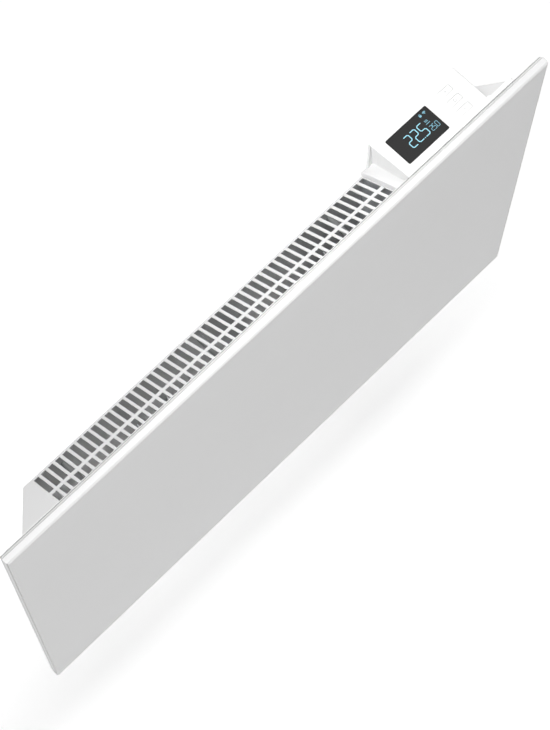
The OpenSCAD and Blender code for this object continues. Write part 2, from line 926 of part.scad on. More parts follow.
// One lead to the element's blade
module element_lead() {
    x1 = connector_x0 + element_way_share * connector_size[0];
    color([0.75, 0.2, 0.15])
    wire([[blade_x, element_y, element_z + blade_w / 2],
        [blade_x, element_y, element_z + blade_w + wire_bend],
        [x1, wire_y, connector_z - wire_bend], [x1, wire_y, connector_z]], wire_r);
}

// The leads to the thermal cut-out go through the grommet side by side
module cutout_leads() {
    tab_top = cutout_base_z + cutout_h + cutout_tab;
    color([0.75, 0.2, 0.15])
    for (i = [0, 1]) {
        side = i * 2 - 1;
        x1 = connector_x0 + cutout_way_shares[i] * connector_size[0];
        near_y = element_y - side * (wire_r + wire_clear);
        tab_x = cutout_x - side * cutout_tab_w;
        run_z = grommet_z - side * wire_clear;
        wire([[tab_x, near_y, tab_top], [tab_x, near_y, run_z], [comp_x1 + wire_bend, near_y, run_z],
            [x1, wire_y, connector_z - wire_bend], [x1, wire_y, connector_z]], wire_r);
    }
}

// Control housing: the raised box, its vertical back plate, the sloping ledge and the strip behind the panel
lean_share = tan(side_lean);
housing_low_z = top_z(back_y);

module above_grille(gap) {
    y0 = housing_y - over;
    y1 = back_y + over;
    along_x(-half_w, half_w)
        polygon([[y0, top_z(y0) + gap], [y0, top + over], [y1, top + over], [y1, top_z(y1) + gap]]);
}

// The raised box, its ledge and strip, taken in by a wall for the hollow
module housing_block(inset, top_inset) {
    drop = top - housing_low_z;
    x0 = housing_x0 + inset;
    x1 = housing_x1 - inset;
    y0 = housing_y + inset;
    y1 = back_y - inset;
    along_y(y0, y1)
        polygon([[x0, top - top_inset], [x1, top - top_inset],
            [x1 - drop * lean_share, housing_low_z], [x0 + drop * lean_share, housing_low_z]]);
    intersection() {
        along_x(ledge_x0 + inset, half_w)
            polygon([[y0, top_z(y0) - over], [y0, top_z(y0) + ledge_rise - inset],
                [y1, top_z(y1) + ledge_rise - inset], [y1, top_z(y1) - over]]);
        along_z(0, top)
            polygon([[0, y0], [end_x(y0) - inset / cos(side_splay), y0],
                [end_x(y1) - inset / cos(side_splay), y1], [0, y1]]);
    }
}

module at_housing_screws() {
    on_grille() for (x = [housing_screw_x0, housing_screw_x1])
        translate([x, -housing_screw_up, 0]) children();
}

housing_screw_up = (back_y - housing_y) / 2;
housing_screw_z = top_z(back_y) + housing_screw_up * sin(grille_slope);
housing_screw_x0 = housing_x0 + (top - housing_screw_z) * lean_share + housing_wall + housing_boss_r / 2;
housing_screw_x1 = housing_x1 + housing_x0 - housing_screw_x0;

// Display window, buttons and board, placed on the raised box
window_x0 = housing_x0 + window_x;
window_y0 = front_y + window_front;
under_top = top - housing_top_t;
board_top = under_top - module_gap - module_t;
board_bottom = board_top - board_t;
button_x = housing_x1 - button_right;
button_y = window_y0 + window_d / 2;
button_low = under_top - button_flange_gap - button_flange_t;
plunger_top = button_low - stem_l;
plunger_low = board_top + switch_floor + button_travel + press_clear;
switch_h = button_low - board_top - button_travel - press_clear;

module at_control_screws() {
    inset = control_board_inset + control_boss_r;
    for (x = [housing_x0 + housing_wall + inset - over, housing_x1 - housing_wall - inset + over],
            y = [housing_y + housing_wall + inset, back_y - housing_wall - inset])
        translate([x, y, 0]) children();
}

module at_buttons() {
    for (i = [-1, 0, 1]) translate([button_x, button_y + i * button_pitch, 0]) children();
}

module control_housing() {
    color([0.97, 0.97, 0.97])
    difference() {
        union() {
            intersection() {
                union() {
                    difference() {
                        union() {
                            housing_block(0, 0);
                            block([housing_x0, back_y - housing_wall, housing_low_z],
                                [housing_x1, back_y, top]);
                            block([housing_x1 - housing_wall, housing_y, housing_low_z],
                                [housing_x1 + strip_reach, housing_y + strip_t, top]);
                        }
                        housing_block(housing_wall, housing_top_t);
                    }
                    at_housing_screws() cylinder(h = housing_screw_l + housing_wall, r = housing_boss_r);
                }
                above_grille(0);
            }
            at_control_screws() translate([0, 0, board_top])
                cylinder(h = under_top - board_top, r = control_boss_r);
        }
        translate([window_x0 - window_gap, window_y0 - window_gap, top - window_t])
            cube([window_w + window_gap + window_gap, window_d + window_gap + window_gap, window_t + over]);
        translate([window_x0 + window_lip, window_y0 + window_lip, under_top - over])
            cube([window_w - window_lip * 2, window_d - window_lip * 2, housing_top_t + over]);
        at_buttons() translate([-button_w / 2 - button_gap, -button_d / 2 - button_gap, under_top - over])
            cube([button_w + button_gap * 2, button_d + button_gap * 2, housing_top_t + over + over]);
        at_housing_screws() translate([0, 0, -over])
            cylinder(h = housing_screw_l + over, r = housing_screw_r + fit);
        at_control_screws() translate([0, 0, board_top - over])
            cylinder(h = control_screw_l - board_t + over + fit, r = control_screw_r + fit);
    }
}

module housing_screws() {
    color([0.78, 0.79, 0.8])
    at_housing_screws() {
        translate([0, 0, -casing_t]) cylinder(h = casing_t + housing_screw_l - over, r = housing_screw_r);
        translate([0, 0, -casing_t - housing_head_h]) cylinder(h = housing_head_h, r = housing_head_r);
    }
}

module display_window() {
    color([0.22, 0.23, 0.23])
    block([window_x0, window_y0, top - window_t], [window_x0 + window_w, window_y0 + window_d, top]);
}

module display_module() {
    color([0.3, 0.32, 0.33])
    block([window_x0 + module_inset, window_y0 + module_inset, board_top],
        [window_x0 + window_w - module_inset, window_y0 + window_d - module_inset, board_top + module_t]);
}

module control_board() {
    inset = housing_wall + control_board_inset;
    color([0.12, 0.4, 0.22])
    difference() {
        block([housing_x0 + inset, housing_y + inset - over, board_bottom],
            [housing_x1 - inset, back_y - inset + over, board_top]);
        at_control_screws() translate([0, 0, board_bottom - over])
            cylinder(h = board_t + over + over, r = control_screw_r + fit);
    }
}

module control_board_screws() {
    color([0.78, 0.79, 0.8])
    at_control_screws() translate([0, 0, board_bottom]) {
        cylinder(h = control_screw_l, r = control_screw_r);
        translate([0, 0, -control_head_h]) cylinder(h = control_head_h, r = control_head_r);
    }
}

module switch_cases() {
    color([0.15, 0.15, 0.16])
    at_buttons() translate([0, 0, board_top]) difference() {
        translate([-switch_w / 2, -switch_w / 2, 0]) cube([switch_w, switch_w, switch_h]);
        translate([0, 0, switch_floor]) cylinder(h = switch_h, r = switch_bore_r);
    }
}

// One button: its cap, the flange that keeps it in, and the stem on the plunger
module button(place) {
    color([0.97, 0.97, 0.97])
    translate([button_x, button_y + place * button_pitch, 0]) {
        block([-button_w / 2, -button_d / 2, button_low], [button_w / 2, button_d / 2, top]);
        block([-button_w / 2 - button_flange, -button_d / 2 - button_flange, button_low],
            [button_w / 2 + button_flange, button_d / 2 + button_flange, button_low + button_flange_t]);
        translate([0, 0, plunger_top]) cylinder(h = stem_l + over, r = stem_r);
    }
}

module plunger(place) {
    color([0.85, 0.3, 0.2])
    translate([button_x, button_y + place * button_pitch, plunger_low])
        cylinder(h = plunger_top - plunger_low, r = plunger_r);
}

module button_back() {
    button(1);
}

module button_middle() {
    button(0);
}

module button_front() {
    button(-1);
}

module plunger_back() {
    plunger(1);
}

module plunger_middle() {
    plunger(0);
}

module plunger_front() {
    plunger(-1);
}

// The flat cable rises from the power board's header, through the casing, to the control board
ribbon_y0 = board_front_y - header_size[1] / 2;
header_top = power_board_z + header_place[1] + header_size[2];
ribbon_y1 = ribbon_y0 - ribbon_offset;
ribbon_mid_x = board_x0 + header_place[0] + header_size[0] / 2;
cable_window_up = (back_y - ribbon_y1) / cos(grille_slope);

module ribbon_cable() {
    color([0.8, 0.8, 0.78])
    along_x(ribbon_mid_x - ribbon_w / 2, ribbon_mid_x + ribbon_w / 2)
        polygon([[ribbon_y0, header_top], [ribbon_y0, header_top + ribbon_offset],
            [ribbon_y1, header_top + ribbon_offset * 3], [ribbon_y1, board_bottom],
            [ribbon_y1 - ribbon_t, board_bottom], [ribbon_y1 - ribbon_t, header_top + ribbon_offset * 3],
            [ribbon_y0 - ribbon_t, header_top + ribbon_offset], [ribbon_y0 - ribbon_t, header_top]]);
}

// The temperature sensor stands upright in its clip, above the bottom slots
sensor_at_x = comp_x1 + sensor_x;
sensor_y = inner_y - clip_reach + clip_w / 2;

module sensor_clip() {
    color([0.9, 0.9, 0.88])
    difference() {
        block([sensor_at_x - clip_w / 2, inner_y - clip_reach, sensor_z],
            [sensor_at_x + clip_w / 2, inner_y, sensor_z + clip_h]);
        translate([sensor_at_x, sensor_y, sensor_z - over])
            cylinder(h = clip_h + over + over, r = sensor_r + sensor_clear);
    }
}

module temperature_sensor() {
    color([0.12, 0.12, 0.13])
    translate([sensor_at_x, sensor_y, sensor_z + clip_h / 2 - sensor_l / 2])
        cylinder(h = sensor_l, r = sensor_r);
}

sensor_way_share = 0.95;

module sensor_lead() {
    sensor_top = sensor_z + clip_h / 2 + sensor_l / 2;
    x1 = connector_x0 + sensor_way_share * connector_size[0];
    lead_y = block_front_y - block_screw_h;
    color([0.2, 0.2, 0.2])
    wire([[sensor_at_x, sensor_y, sensor_top], [sensor_at_x, sensor_y, sensor_top + wire_bend],
        [sensor_at_x, lead_y, sensor_top + wire_bend * 2], [x1, lead_y, connector_z - wire_bend * 2],
        [x1, wire_y, connector_z - wire_bend], [x1, wire_y, connector_z]], thin_wire_r);
}

module at_rails() {
    for (side = [-1, 1]) translate([side * screw_dx / 2, 0, 0]) children();
}

module at_hooks() {
    at_rails() for (side = [-1, 1]) translate([side * (rail_w - bracket_t) / 2, 0, 0]) children();
}

module at_clips() {
    at_rails() translate([0, 0, clip_block_z]) children();
}

module wall_bracket() {
    color([0.82, 0.82, 0.83]) {
        difference() {
            union() {
                at_rails() block([-rail_w / 2, -bracket_t, -rail_bottom], [rail_w / 2, 0, rail_top]);
                for (z = [rail_top - strip_h, -rail_top])
                    block([-screw_dx / 2, -bracket_t, z], [screw_dx / 2, 0, z + strip_h]);
            }
            at_rails() for (z = [-screw_dz / 2, screw_dz / 2]) translate([0, 0, z])
                along_y(-bracket_t - over, over) {
                    square([screw_slot_l - screw_slot_r * 2, screw_slot_r * 2], center = true);
                    for (side = [-1, 1]) translate([side * (screw_slot_l / 2 - screw_slot_r), 0])
                        circle(r = screw_slot_r);
                }
        }
        at_hooks() {
            block([-bracket_t / 2, back_y, -rail_bottom], [bracket_t / 2, 0, rail_top]);
            translate([-bracket_t / 2, 0, 0]) along_x(0, bracket_t)
                polygon([[back_y + over, hook_z], [inner_y - hook_reach, hook_z],
                    [inner_y - hook_reach, hook_z + hook_finger], [inner_y - hook_gap, hook_z + hook_finger],
                    [inner_y - hook_gap, hook_z + hook_neck], [back_y + over, hook_z + hook_neck]]);
        }
    }
}

module lower_clips() {
    color([0.88, 0.88, 0.86])
    at_clips() {
        block([-clip_block_w / 2, back_y + hook_gap, -clip_block_h / 2],
            [clip_block_w / 2, -bracket_t, clip_block_h / 2]);
        block([-clip_tongue_w / 2, inner_y - clip_reach_in, -clip_tongue_h / 2],
            [clip_tongue_w / 2, back_y + hook_gap + over, clip_tongue_h / 2]);
        block([-clip_tongue_w / 2, inner_y - clip_reach_in, -clip_tongue_h / 2],
            [clip_tongue_w / 2, inner_y - clip_reach_in + clip_barb_t, clip_tongue_h / 2 + clip_barb_h]);
    }
}

module at_bumpers() {
    for (side = [-1, 1])
        translate([side * (half_w - side_inset - bumper_x), 0, bumper_rise - top_z(back_y)]) children();
}

module rubber_bumpers() {
    color([0.2, 0.2, 0.2])
    at_bumpers() {
        bar_y(0, 0, back_y, 0, bumper_r);
        bar_y(0, 0, inner_y - bumper_cap_t, back_y, bumper_stem_r);
        bar_y(0, 0, inner_y - bumper_cap_t, inner_y, bumper_cap_r);
    }
}

front_panel();
rear_casing();
casing_screws();
heat_shield();
shield_posts();
element_fins();
element_tube();
element_brackets();
element_bushes();
element_terminals();
cutout_bracket();
thermal_cutout();
compartment_wall();
wall_grommet();
power_board();
board_standoffs();
board_screws();
relay();
supply_module();
mains_connector();
ribbon_header();
terminal_block();
terminal_screws();
earth_stud();
earth_nut();
cord_clamp();
clamp_screws();
cable_gland();
gland_locknut();
live_lead();
neutral_lead();
earth_lead();
element_lead();
cutout_leads();
ribbon_cable();
sensor_clip();
temperature_sensor();
sensor_lead();
control_housing();
housing_screws();
display_window();
display_module();
control_board();
control_board_screws();
switch_cases();
button_back();
button_middle();
button_front();
plunger_back();
plunger_middle();
plunger_front();
wall_bracket();
lower_clips();
rubber_bumpers();
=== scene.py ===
# %% [markdown]
# # The looks of a wall panel convector heater
# A white panel heater hangs on a wall bracket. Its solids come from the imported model, in metres, and this
# lesson dresses them: every solid gets a finish, and the pieces that the eye rests on are modelled again
# with soft edges. The first cell loads the model and keeps its box, because the looks must not grow it.
# Sizes are read from the solids where they can be, so that a piece drawn here lands on the real one.

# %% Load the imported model
import json
import math

import bmesh
import bpy
from mathutils import Matrix, Vector


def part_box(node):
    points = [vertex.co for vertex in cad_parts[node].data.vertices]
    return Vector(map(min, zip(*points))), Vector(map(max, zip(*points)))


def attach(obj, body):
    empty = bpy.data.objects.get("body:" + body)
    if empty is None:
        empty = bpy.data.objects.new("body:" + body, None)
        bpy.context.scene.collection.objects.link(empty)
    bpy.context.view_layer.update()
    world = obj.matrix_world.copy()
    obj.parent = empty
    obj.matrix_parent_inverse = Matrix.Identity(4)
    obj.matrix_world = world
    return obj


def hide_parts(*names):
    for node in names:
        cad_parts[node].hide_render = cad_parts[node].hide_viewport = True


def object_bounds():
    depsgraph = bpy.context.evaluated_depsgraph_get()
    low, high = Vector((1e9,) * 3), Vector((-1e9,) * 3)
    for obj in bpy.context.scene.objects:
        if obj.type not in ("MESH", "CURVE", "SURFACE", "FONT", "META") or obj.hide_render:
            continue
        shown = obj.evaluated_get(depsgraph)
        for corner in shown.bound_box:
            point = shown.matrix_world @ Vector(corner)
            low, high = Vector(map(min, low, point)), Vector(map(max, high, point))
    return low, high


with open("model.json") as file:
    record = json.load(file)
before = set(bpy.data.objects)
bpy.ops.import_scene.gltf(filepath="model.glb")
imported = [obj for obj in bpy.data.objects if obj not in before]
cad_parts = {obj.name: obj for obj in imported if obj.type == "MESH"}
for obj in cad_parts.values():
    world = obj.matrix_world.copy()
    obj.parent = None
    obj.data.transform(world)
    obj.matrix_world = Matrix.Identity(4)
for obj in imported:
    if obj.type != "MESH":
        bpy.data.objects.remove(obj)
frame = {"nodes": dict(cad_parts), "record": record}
cad_low, cad_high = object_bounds()
MM = 0.001
print("box of the solids in mm:", [round(v / MM, 1) for v in (*cad_low, *cad_high)])

# %% [markdown]
# ## The camera
# The view is the photograph's: from the front and left, high above, rolled so that the panel runs up to the
# right. A camera could be pointed with a constraint, but its place and its axes were worked out from the
# corners of the panel, so they are written straight into its matrix. Its focal length came out in pixels of
# a picture that is 730 pixels high, and the lens is the same share of the sensor's height.

# %% Set the camera
camera_mm = Vector((-440.5, -490.2, 1706.0))
focal_px, picture_px = 2090.9, 730
camera_data = bpy.data.cameras.new("camera")
camera = bpy.data.objects.new("camera", camera_data)
bpy.context.scene.collection.objects.link(camera)
right = Vector((0.7071, -0.7071, 0.0035)).normalized()
ahead = Vector((0.2463, 0.2416, -0.9386)).normalized()
down = ahead.cross(right).normalized()
right = down.cross(ahead)
turn = Matrix((right, -down, -ahead)).transposed().to_4x4()
camera.matrix_world = Matrix.Translation(camera_mm * MM) @ turn
camera_data.sensor_width = 36
camera_data.lens = focal_px * camera_data.sensor_width / picture_px
camera_data.clip_start = 0.05
camera_data.clip_end = 60
bpy.context.scene.camera = camera
print("lens", round(camera_data.lens, 1), "mm")

# %% [markdown]
# ## The table
# The photograph has a pure white ground with next to no shadow, as on a light table that glows a little. A
# plain white floor would go grey under the heater, so the table gets a glowing finish. It lies well below
# the heater, which keeps the shadow soft, and it rides on no body, so it isn't a part of the heater.

# %% Lay the table
table_drop = 0.35
reach = 12.0


def link(name, data):
    """Puts a mesh or a lamp in the scene as an object."""
    made = bpy.data.objects.new(name, data)
    bpy.context.scene.collection.objects.link(made)
    return made


table_mesh = bpy.data.meshes.new("light_table")
table_z = cad_low.z - table_drop
table_mesh.from_pydata(
    [(-reach, -reach, table_z), (reach, -reach, table_z), (reach, reach, table_z), (-reach, reach, table_z)],
    [], [(0, 1, 2, 3)])
table = link("light_table", table_mesh)
print("table", round(table_drop / MM), "mm below the heater")

# %% [markdown]
# ## The lamps
# The photograph's light is soft: the front is an even grey, the fold on top is white over its whole length,
# and the grille gets brighter towards the control housing. One lamp can't do that. So a long soft box hangs
# above, two large ones stand at the left, a small one lights the back and another the housing's side, and a
# narrow one shines in through the air inlet below, which greys the slots. Their powers were tuned against
# tones that were measured in the photograph.

# %% Hang the lamps
def soft_box(name, place, target, size, power, spread=180, depth=None):
    """An area lamp that looks at a point, square unless it has a depth; its spread is in degrees."""
    data = bpy.data.lights.new(name, "AREA")
    data.shape = "RECTANGLE"
    data.size = size
    data.size_y = depth or size
    data.energy = power
    data.spread = math.radians(spread)
    lamp = link(name, data)
    lamp.location = place
    lamp.rotation_mode = "QUATERNION"
    lamp.rotation_quaternion = (Vector(target) - Vector(place)).to_track_quat("-Z", "Y")
    lamp.visible_camera = False


soft_box("top_lamp", place=(0.02, -0.13, 1.1), target=(0.02, -0.04, 0.17), size=0.8, power=11.0, depth=0.25)
soft_box("left_lamp", place=(-1.2, -0.9, 1.5), target=(0, 0, 0), size=0.9, power=5.2)
soft_box("low_left_lamp", place=(-2.4, -1.2, 0.3), target=(0, 0, 0.1), size=1.5, power=5.5)
soft_box("back_lamp", place=(0.35, 0.4, 0.6), target=(0.1, 0, 0.15), size=0.3, power=0.35)
soft_box("side_lamp", place=(-0.3, 0.02, 0.36), target=(0.14, -0.04, 0.18), size=0.1, power=0.047,
         spread=40)
soft_box("inlet_lamp", place=(0, -0.045, -0.53), target=(0, -0.04, 0), size=0.55, power=2.8, depth=0.05)
bpy.context.scene.view_settings.view_transform = "Standard"
print(len(bpy.data.lights), "lamps")

# %% [markdown]
# ## Colours and nodes
# Colours are picked as on a screen, in sRGB hex, while shaders work in linear light, so one function turns
# the one into the other. A second one adds a node with its settings and links, which keeps each finish
# short enough to read.

# %% Two helpers for finishes
def linear(hex_colour):
    """An sRGB hex colour as linear RGBA."""
    parts = [int(hex_colour[i:i + 2], 16) / 255 for i in (1, 3, 5)]
    return (*[c / 12.92 if c <= 0.04045 else ((c + 0.055) / 1.055) ** 2.4 for c in parts], 1)


def add(tree, kind, inputs=None, **settings):
    """Adds a node; an input is a value, or another node's socket to link."""
    made = tree.nodes.new(kind)
    for name, value in settings.items():
        setattr(made, name, value)
    for name, value in (inputs or {}).items():
        if isinstance(value, bpy.types.NodeSocket):
            tree.links.new(value, made.inputs[name])
        else:
            made.inputs[name].default_value = value
    return made


def per_mm(size):
    """Texture scale whose features are about so many millimetres wide."""
    return 1 / (size * MM)


# %% [markdown]
# ## The studio's walls
# The room's ceiling is dim, so that the lamps alone shape what faces up, but its walls are pale near the
# floor, which lights the upright front evenly. A world of one colour can't be both. Here its strength falls
# with the height of the direction, which is the Z of the world's own coordinates.

# %% Paint the studio's walls
pale_to, dim_from = 0.16, 0.3
pale_light, dim_light = 0.535, 0.07
world = bpy.data.worlds.new("studio")
bpy.context.scene.world = world
world.use_nodes = True
sky = world.node_tree
direction = add(sky, "ShaderNodeTexCoord").outputs["Generated"]
height = add(sky, "ShaderNodeSeparateXYZ", {"Vector": direction}).outputs["Z"]
glow = add(sky, "ShaderNodeMapRange", {"Value": height, "From Min": pale_to, "From Max": dim_from,
                                       "To Min": pale_light, "To Max": dim_light},
           interpolation_type="SMOOTHSTEP")
sky.links.new(glow.outputs["Result"], sky.nodes["Background"].inputs["Strength"])
sky.nodes["Background"].inputs["Color"].default_value = (1, 1, 1, 1)
print("walls pale up to", round(math.degrees(math.asin(pale_to))), "degrees above the horizon")

# %% [markdown]
# ## One pattern for cast, coated and moulded surfaces
# Paint, plastic, rubber and ceramic all show the same three things up close: a fine grain in the surface, a
# slow drift of tone over the piece, and a shine that isn't quite even. So one function lays two noises in
# the object's own millimetres: the fine one bumps the surface and moves the shine, the slow one moves the
# tone. A stretch along one axis turns the same grain into brush lines for metals. An image would need a
# layout on every mesh, while noise fits any piece.

# %% Grained finishes
finishes = {}
drift_mm = 60


def grained(name, colour, roughness, grain, depth, drift=0.03, stretch=(1, 1, 1), uneven=0.06, **shader):
    """A finish whose grain has a width and depth in mm; returns its tree, shader and coordinates."""
    material = bpy.data.materials.new(name)
    material.use_nodes = True
    tree = material.node_tree
    surface = tree.nodes["Principled BSDF"]
    place = add(tree, "ShaderNodeTexCoord").outputs["Object"]
    scaled = add(tree, "ShaderNodeMapping", {"Vector": place, "Scale": stretch}).outputs["Vector"]
    fine = add(tree, "ShaderNodeTexNoise", {"Vector": scaled, "Scale": per_mm(grain), "Detail": 4.0})
    slow = add(tree, "ShaderNodeTexNoise", {"Vector": place, "Scale": per_mm(drift_mm), "Detail": 2.0})
    darker, lighter = [(*[min(1, c * k) for c in linear(colour)[:3]], 1) for k in (1 - drift, 1 + drift)]
    tone = add(tree, "ShaderNodeMix", {"Factor": slow.outputs["Fac"], "A": darker, "B": lighter},
               data_type="RGBA")
    tree.links.new(tone.outputs["Result"], surface.inputs["Base Color"])
    shine = add(tree, "ShaderNodeMapRange", {"Value": fine.outputs["Fac"], "To Min": roughness - uneven,
                                             "To Max": roughness + uneven})
    tree.links.new(shine.outputs["Result"], surface.inputs["Roughness"])
    bump = add(tree, "ShaderNodeBump", {"Height": fine.outputs["Fac"], "Distance": depth * MM})
    tree.links.new(bump.outputs["Normal"], surface.inputs["Normal"])
    for socket, value in shader.items():
        surface.inputs[socket.replace("_", " ")].default_value = value
    finishes[name] = material
    return tree, surface, place


# %% [markdown]
# ## Paint and plastic
# The panel and the casing are powder-coated steel: a satin white with a faint orange peel, whose real waves
# are near 0.8 mm and are drawn a little coarser to show. The housing is ABS from a mould with a fine spark
# texture, and the buttons are the same ABS from a smoother mould. Nylon is whiter at its thin edges than
# ABS and less shiny. Phenolic, rubber and ceramic have almost no shine.

# %% Make paint, plastic, rubber and ceramic
# powder-coated steel: even satin white
grained("powder_coated_steel", "#DADADA", 0.42, 1.2, 0.012, 0.008, IOR=1.5)
# the casing's coat: the same powder as the panel's, made a little whiter as painted light for the brighter
# grille and the insides seen through the slots
grained("casing_coat_painted_light", "#DEDEDE", 0.42, 1.2, 0.012, 0.008, IOR=1.5)
# powder-coated steel, grey: the bracket, with a deeper peel
grained("grey_powder_coat", "#C9CACC", 0.48, 1.2, 0.02, 0.02, IOR=1.5)
# moulded ABS: white, with a fine spark texture
grained("textured_abs", "#E4E4E4", 0.45, 0.5, 0.01, 0.006, IOR=1.54)
# smooth ABS: the buttons, polished by fingers
grained("smooth_abs", "#E6E6E6", 0.28, 2.0, 0.004, 0.006, uneven=0.03, IOR=1.54)
# natural nylon: ivory and a little waxy
grained("natural_nylon", "#E4E2D6", 0.5, 0.8, 0.015, 0.03, Subsurface_Weight=0.05, IOR=1.53)
# moulded phenolic and PBT: relay, cut-out and switches
grained("black_phenolic", "#26272A", 0.5, 0.6, 0.02, 0.08, IOR=1.55)
# moulded rubber: bumpers and grommet, matt with a bloom
grained("moulded_rubber", "#303030", 0.78, 0.9, 0.03, 0.1, uneven=0.1, IOR=1.52)
# painted shade: a grey strip that stands for the dark gap between the panel's fold and the casing, matt and
# smooth
grained("painted_shadow_gap", "#A9A9A9", 0.6, 1.5, 0.01, 0.03, IOR=1.42)
# unglazed ceramic: off-white, grainy and dry
grained("steatite_ceramic", "#ECE8DC", 0.75, 0.35, 0.03, 0.03, IOR=1.6)
# opal acrylic: the top of the light table, which glows from below
grained("opal_acrylic", "#F4F4F4", 0.85, 4.0, 0.02, 0.004, uneven=0.05, IOR=1.49,
        Emission_Color=linear("#FFFFFF"), Emission_Strength=0.65)
table_mesh.materials.append(finishes["opal_acrylic"])
# the grey plastic frame of the display
grained("display_frame", "#4B5053", 0.5, 0.6, 0.01, 0.04, IOR=1.54)
# red nylon of the switch plungers
grained("red_nylon", "#C9503A", 0.45, 0.5, 0.01, 0.04, IOR=1.53)
# ink: the signs on the buttons
grained("grey_ink", "#B9BABA", 0.5, 0.5, 0.004, 0.03, IOR=1.5)
print("finishes so far:", len(finishes))

# %% [markdown]
# ## Metals
# Rolled and brushed sheet shows lines along the rolling direction, so its grain is stretched about twenty
# times. Zinc plating is softer and bluer than stainless steel, and drawn aluminium is brighter than both.
# Every bare metal keeps the default IOR, because its colour already says how it reflects. Phosphated steel
# is under a coat of crystals, so it is no mirror and gets none of the metal's shine.

# %% Make the metals
# phosphated steel: the posts between element and panel, a dull grey that is partly the phosphate and partly
# painted shade, dark enough to match the shade in the slots
grained("phosphate_and_painted_shade", "#8A8C8C", 0.65, 0.4, 0.01, 0.05, IOR=1.5)
# zinc-plated screws: bluish, turned
grained("zinc_plate", "#C4C8CC", 0.32, 0.5, 0.006, 0.04, (1, 1, 6), Metallic=1.0)
# stainless tube: drawn lines along its length
grained("drawn_stainless", "#A5A6A8", 0.3, 0.6, 0.006, 0.05, (0.05, 1, 1), Metallic=1.0)
# extruded aluminium fins: bright, with die lines
grained("extruded_aluminium", "#CDD0D3", 0.36, 0.7, 0.008, 0.04, (1, 1, 0.05), Metallic=1.0)
# turned brass: earth nut and standoffs
grained("turned_brass", "#C9A95A", 0.3, 0.4, 0.005, 0.05, (1, 6, 1), Metallic=1.0)
print("finishes with the metals:", len(finishes))

# %% [markdown]
# ## Galvanised sheet
# Hot-dip zinc cools into flat crystals, the spangle, each 4 to 8 mm wide and each a little lighter or duller
# than its neighbour. A Voronoi pattern gives one random tone per cell, which is just that.

# %% Make galvanised sheet
spangle_mm = 6
tree, surface, place = grained("galvanised_sheet", "#C9CDD0", 0.55, 0.7, 0.006, 0.03, Metallic=0.6)
cells = add(tree, "ShaderNodeTexVoronoi", {"Vector": place, "Scale": per_mm(spangle_mm)})
grey = add(tree, "ShaderNodeRGBToBW", {"Color": cells.outputs["Color"]})
spangle = add(tree, "ShaderNodeMapRange", {"Value": grey.outputs["Val"], "To Min": 0.5, "To Max": 0.66})
tree.links.new(spangle.outputs["Result"], surface.inputs["Roughness"])
lit_cell = add(tree, "ShaderNodeMix", {"Factor": grey.outputs["Val"], "A": linear("#C2C6C9"),
                                       "B": linear("#D4D7D9")}, data_type="RGBA")
tree.links.new(lit_cell.outputs["Result"], surface.inputs["Base Color"])
print("spangle cells of", spangle_mm, "mm")

# %% [markdown]
# ## Circuit boards
# Under the green solder mask the copper tracks stand out as slightly lighter lines. A brick pattern with
# wide bricks and thin mortar draws them at a pitch of 2.5 mm, the usual grid of such boards, and the mask
# over them is glossy.

# %% Make the boards' solder mask
track_pitch = 2.5  # a row of bricks, which is half a unit high
tree, surface, place = grained("solder_mask", "#1B5A33", 0.25, 1.0, 0.004, 0.03, Coat_Weight=0.3)
turned = add(tree, "ShaderNodeMapping", {"Vector": place, "Rotation": (math.pi / 2, 0, 0)})
tracks = add(tree, "ShaderNodeTexBrick", {
    "Vector": turned.outputs["Vector"], "Scale": per_mm(2 * track_pitch), "Mortar Size": 0.06,
    "Brick Width": 2.0, "Row Height": 0.5, "Color1": linear("#1A5631"), "Color2": linear("#1E6238"),
    "Mortar": linear("#2F8A4E")})
tree.links.new(tracks.outputs["Color"], surface.inputs["Base Color"])
print("tracks on a grid of", track_pitch, "mm")

# %% [markdown]
# ## Wires
# Extruded PVC and silicone are smooth and a little soft-looking. The earth lead is green with a yellow
# stripe that winds round it, which a slanting wave gives. The flat cable shows its cores: a wave along X,
# with a period of 1.27 mm as in such cable, sinks the valleys between them.

# %% Make the wires' insulation
for name, colour in (("brown_pvc", "#7A4A2A"), ("blue_pvc", "#2F5FB8"), ("grey_pvc", "#55565A")):
    grained(name, colour, 0.38, 1.5, 0.01, 0.04, IOR=1.53)
grained("red_silicone", "#B8382A", 0.55, 1.0, 0.02, 0.06, IOR=1.43)

tree, surface, place = grained("striped_pvc", "#6E9A2A", 0.38, 1.5, 0.01, 0.03, IOR=1.53)
stripe_mm = 14
helix = add(tree, "ShaderNodeTexWave", {"Vector": place, "Scale": per_mm(stripe_mm)},
            bands_direction="DIAGONAL")
stripe = add(tree, "ShaderNodeMix", {"Factor": helix.outputs["Fac"], "A": linear("#4F8A2C"),
                                     "B": linear("#D8C63A")}, data_type="RGBA")
tree.links.new(stripe.outputs["Result"], surface.inputs["Base Color"])

tree, surface, place = grained("flat_cable", "#CFCFCB", 0.42, 1.0, 0.01, 0.02, IOR=1.53)
core_pitch, valley_d = 1.27, 0.3
# a wave's bands repeat once for every 20 divided by its scale, over pi, so the pitch sets the scale
cores = add(tree, "ShaderNodeTexWave", {"Vector": place, "Scale": math.pi / 10 * per_mm(core_pitch)},
            bands_direction="X")
ridge = add(tree, "ShaderNodeBump", {"Height": cores.outputs["Fac"], "Distance": valley_d * MM})
tree.links.new(ridge.outputs["Normal"], surface.inputs["Normal"])
print("cores of", core_pitch, "mm in the flat cable")

# %% [markdown]
# ## Smoked acrylic and lit figures
# The display's window is smoked acrylic: near black, very smooth, and it mirrors the room faintly. The
# figures behind it glow in a pale cyan. They are given as light rather than as paint, because a lit figure
# keeps its brightness in shade.

# %% Make the smoked window and the lit figures
# cast acrylic, smoked: its own shine and a trace of dust
grained("smoked_acrylic", "#313131", 0.12, 3.0, 0.001, 0.04, uneven=0.04, IOR=1.49)
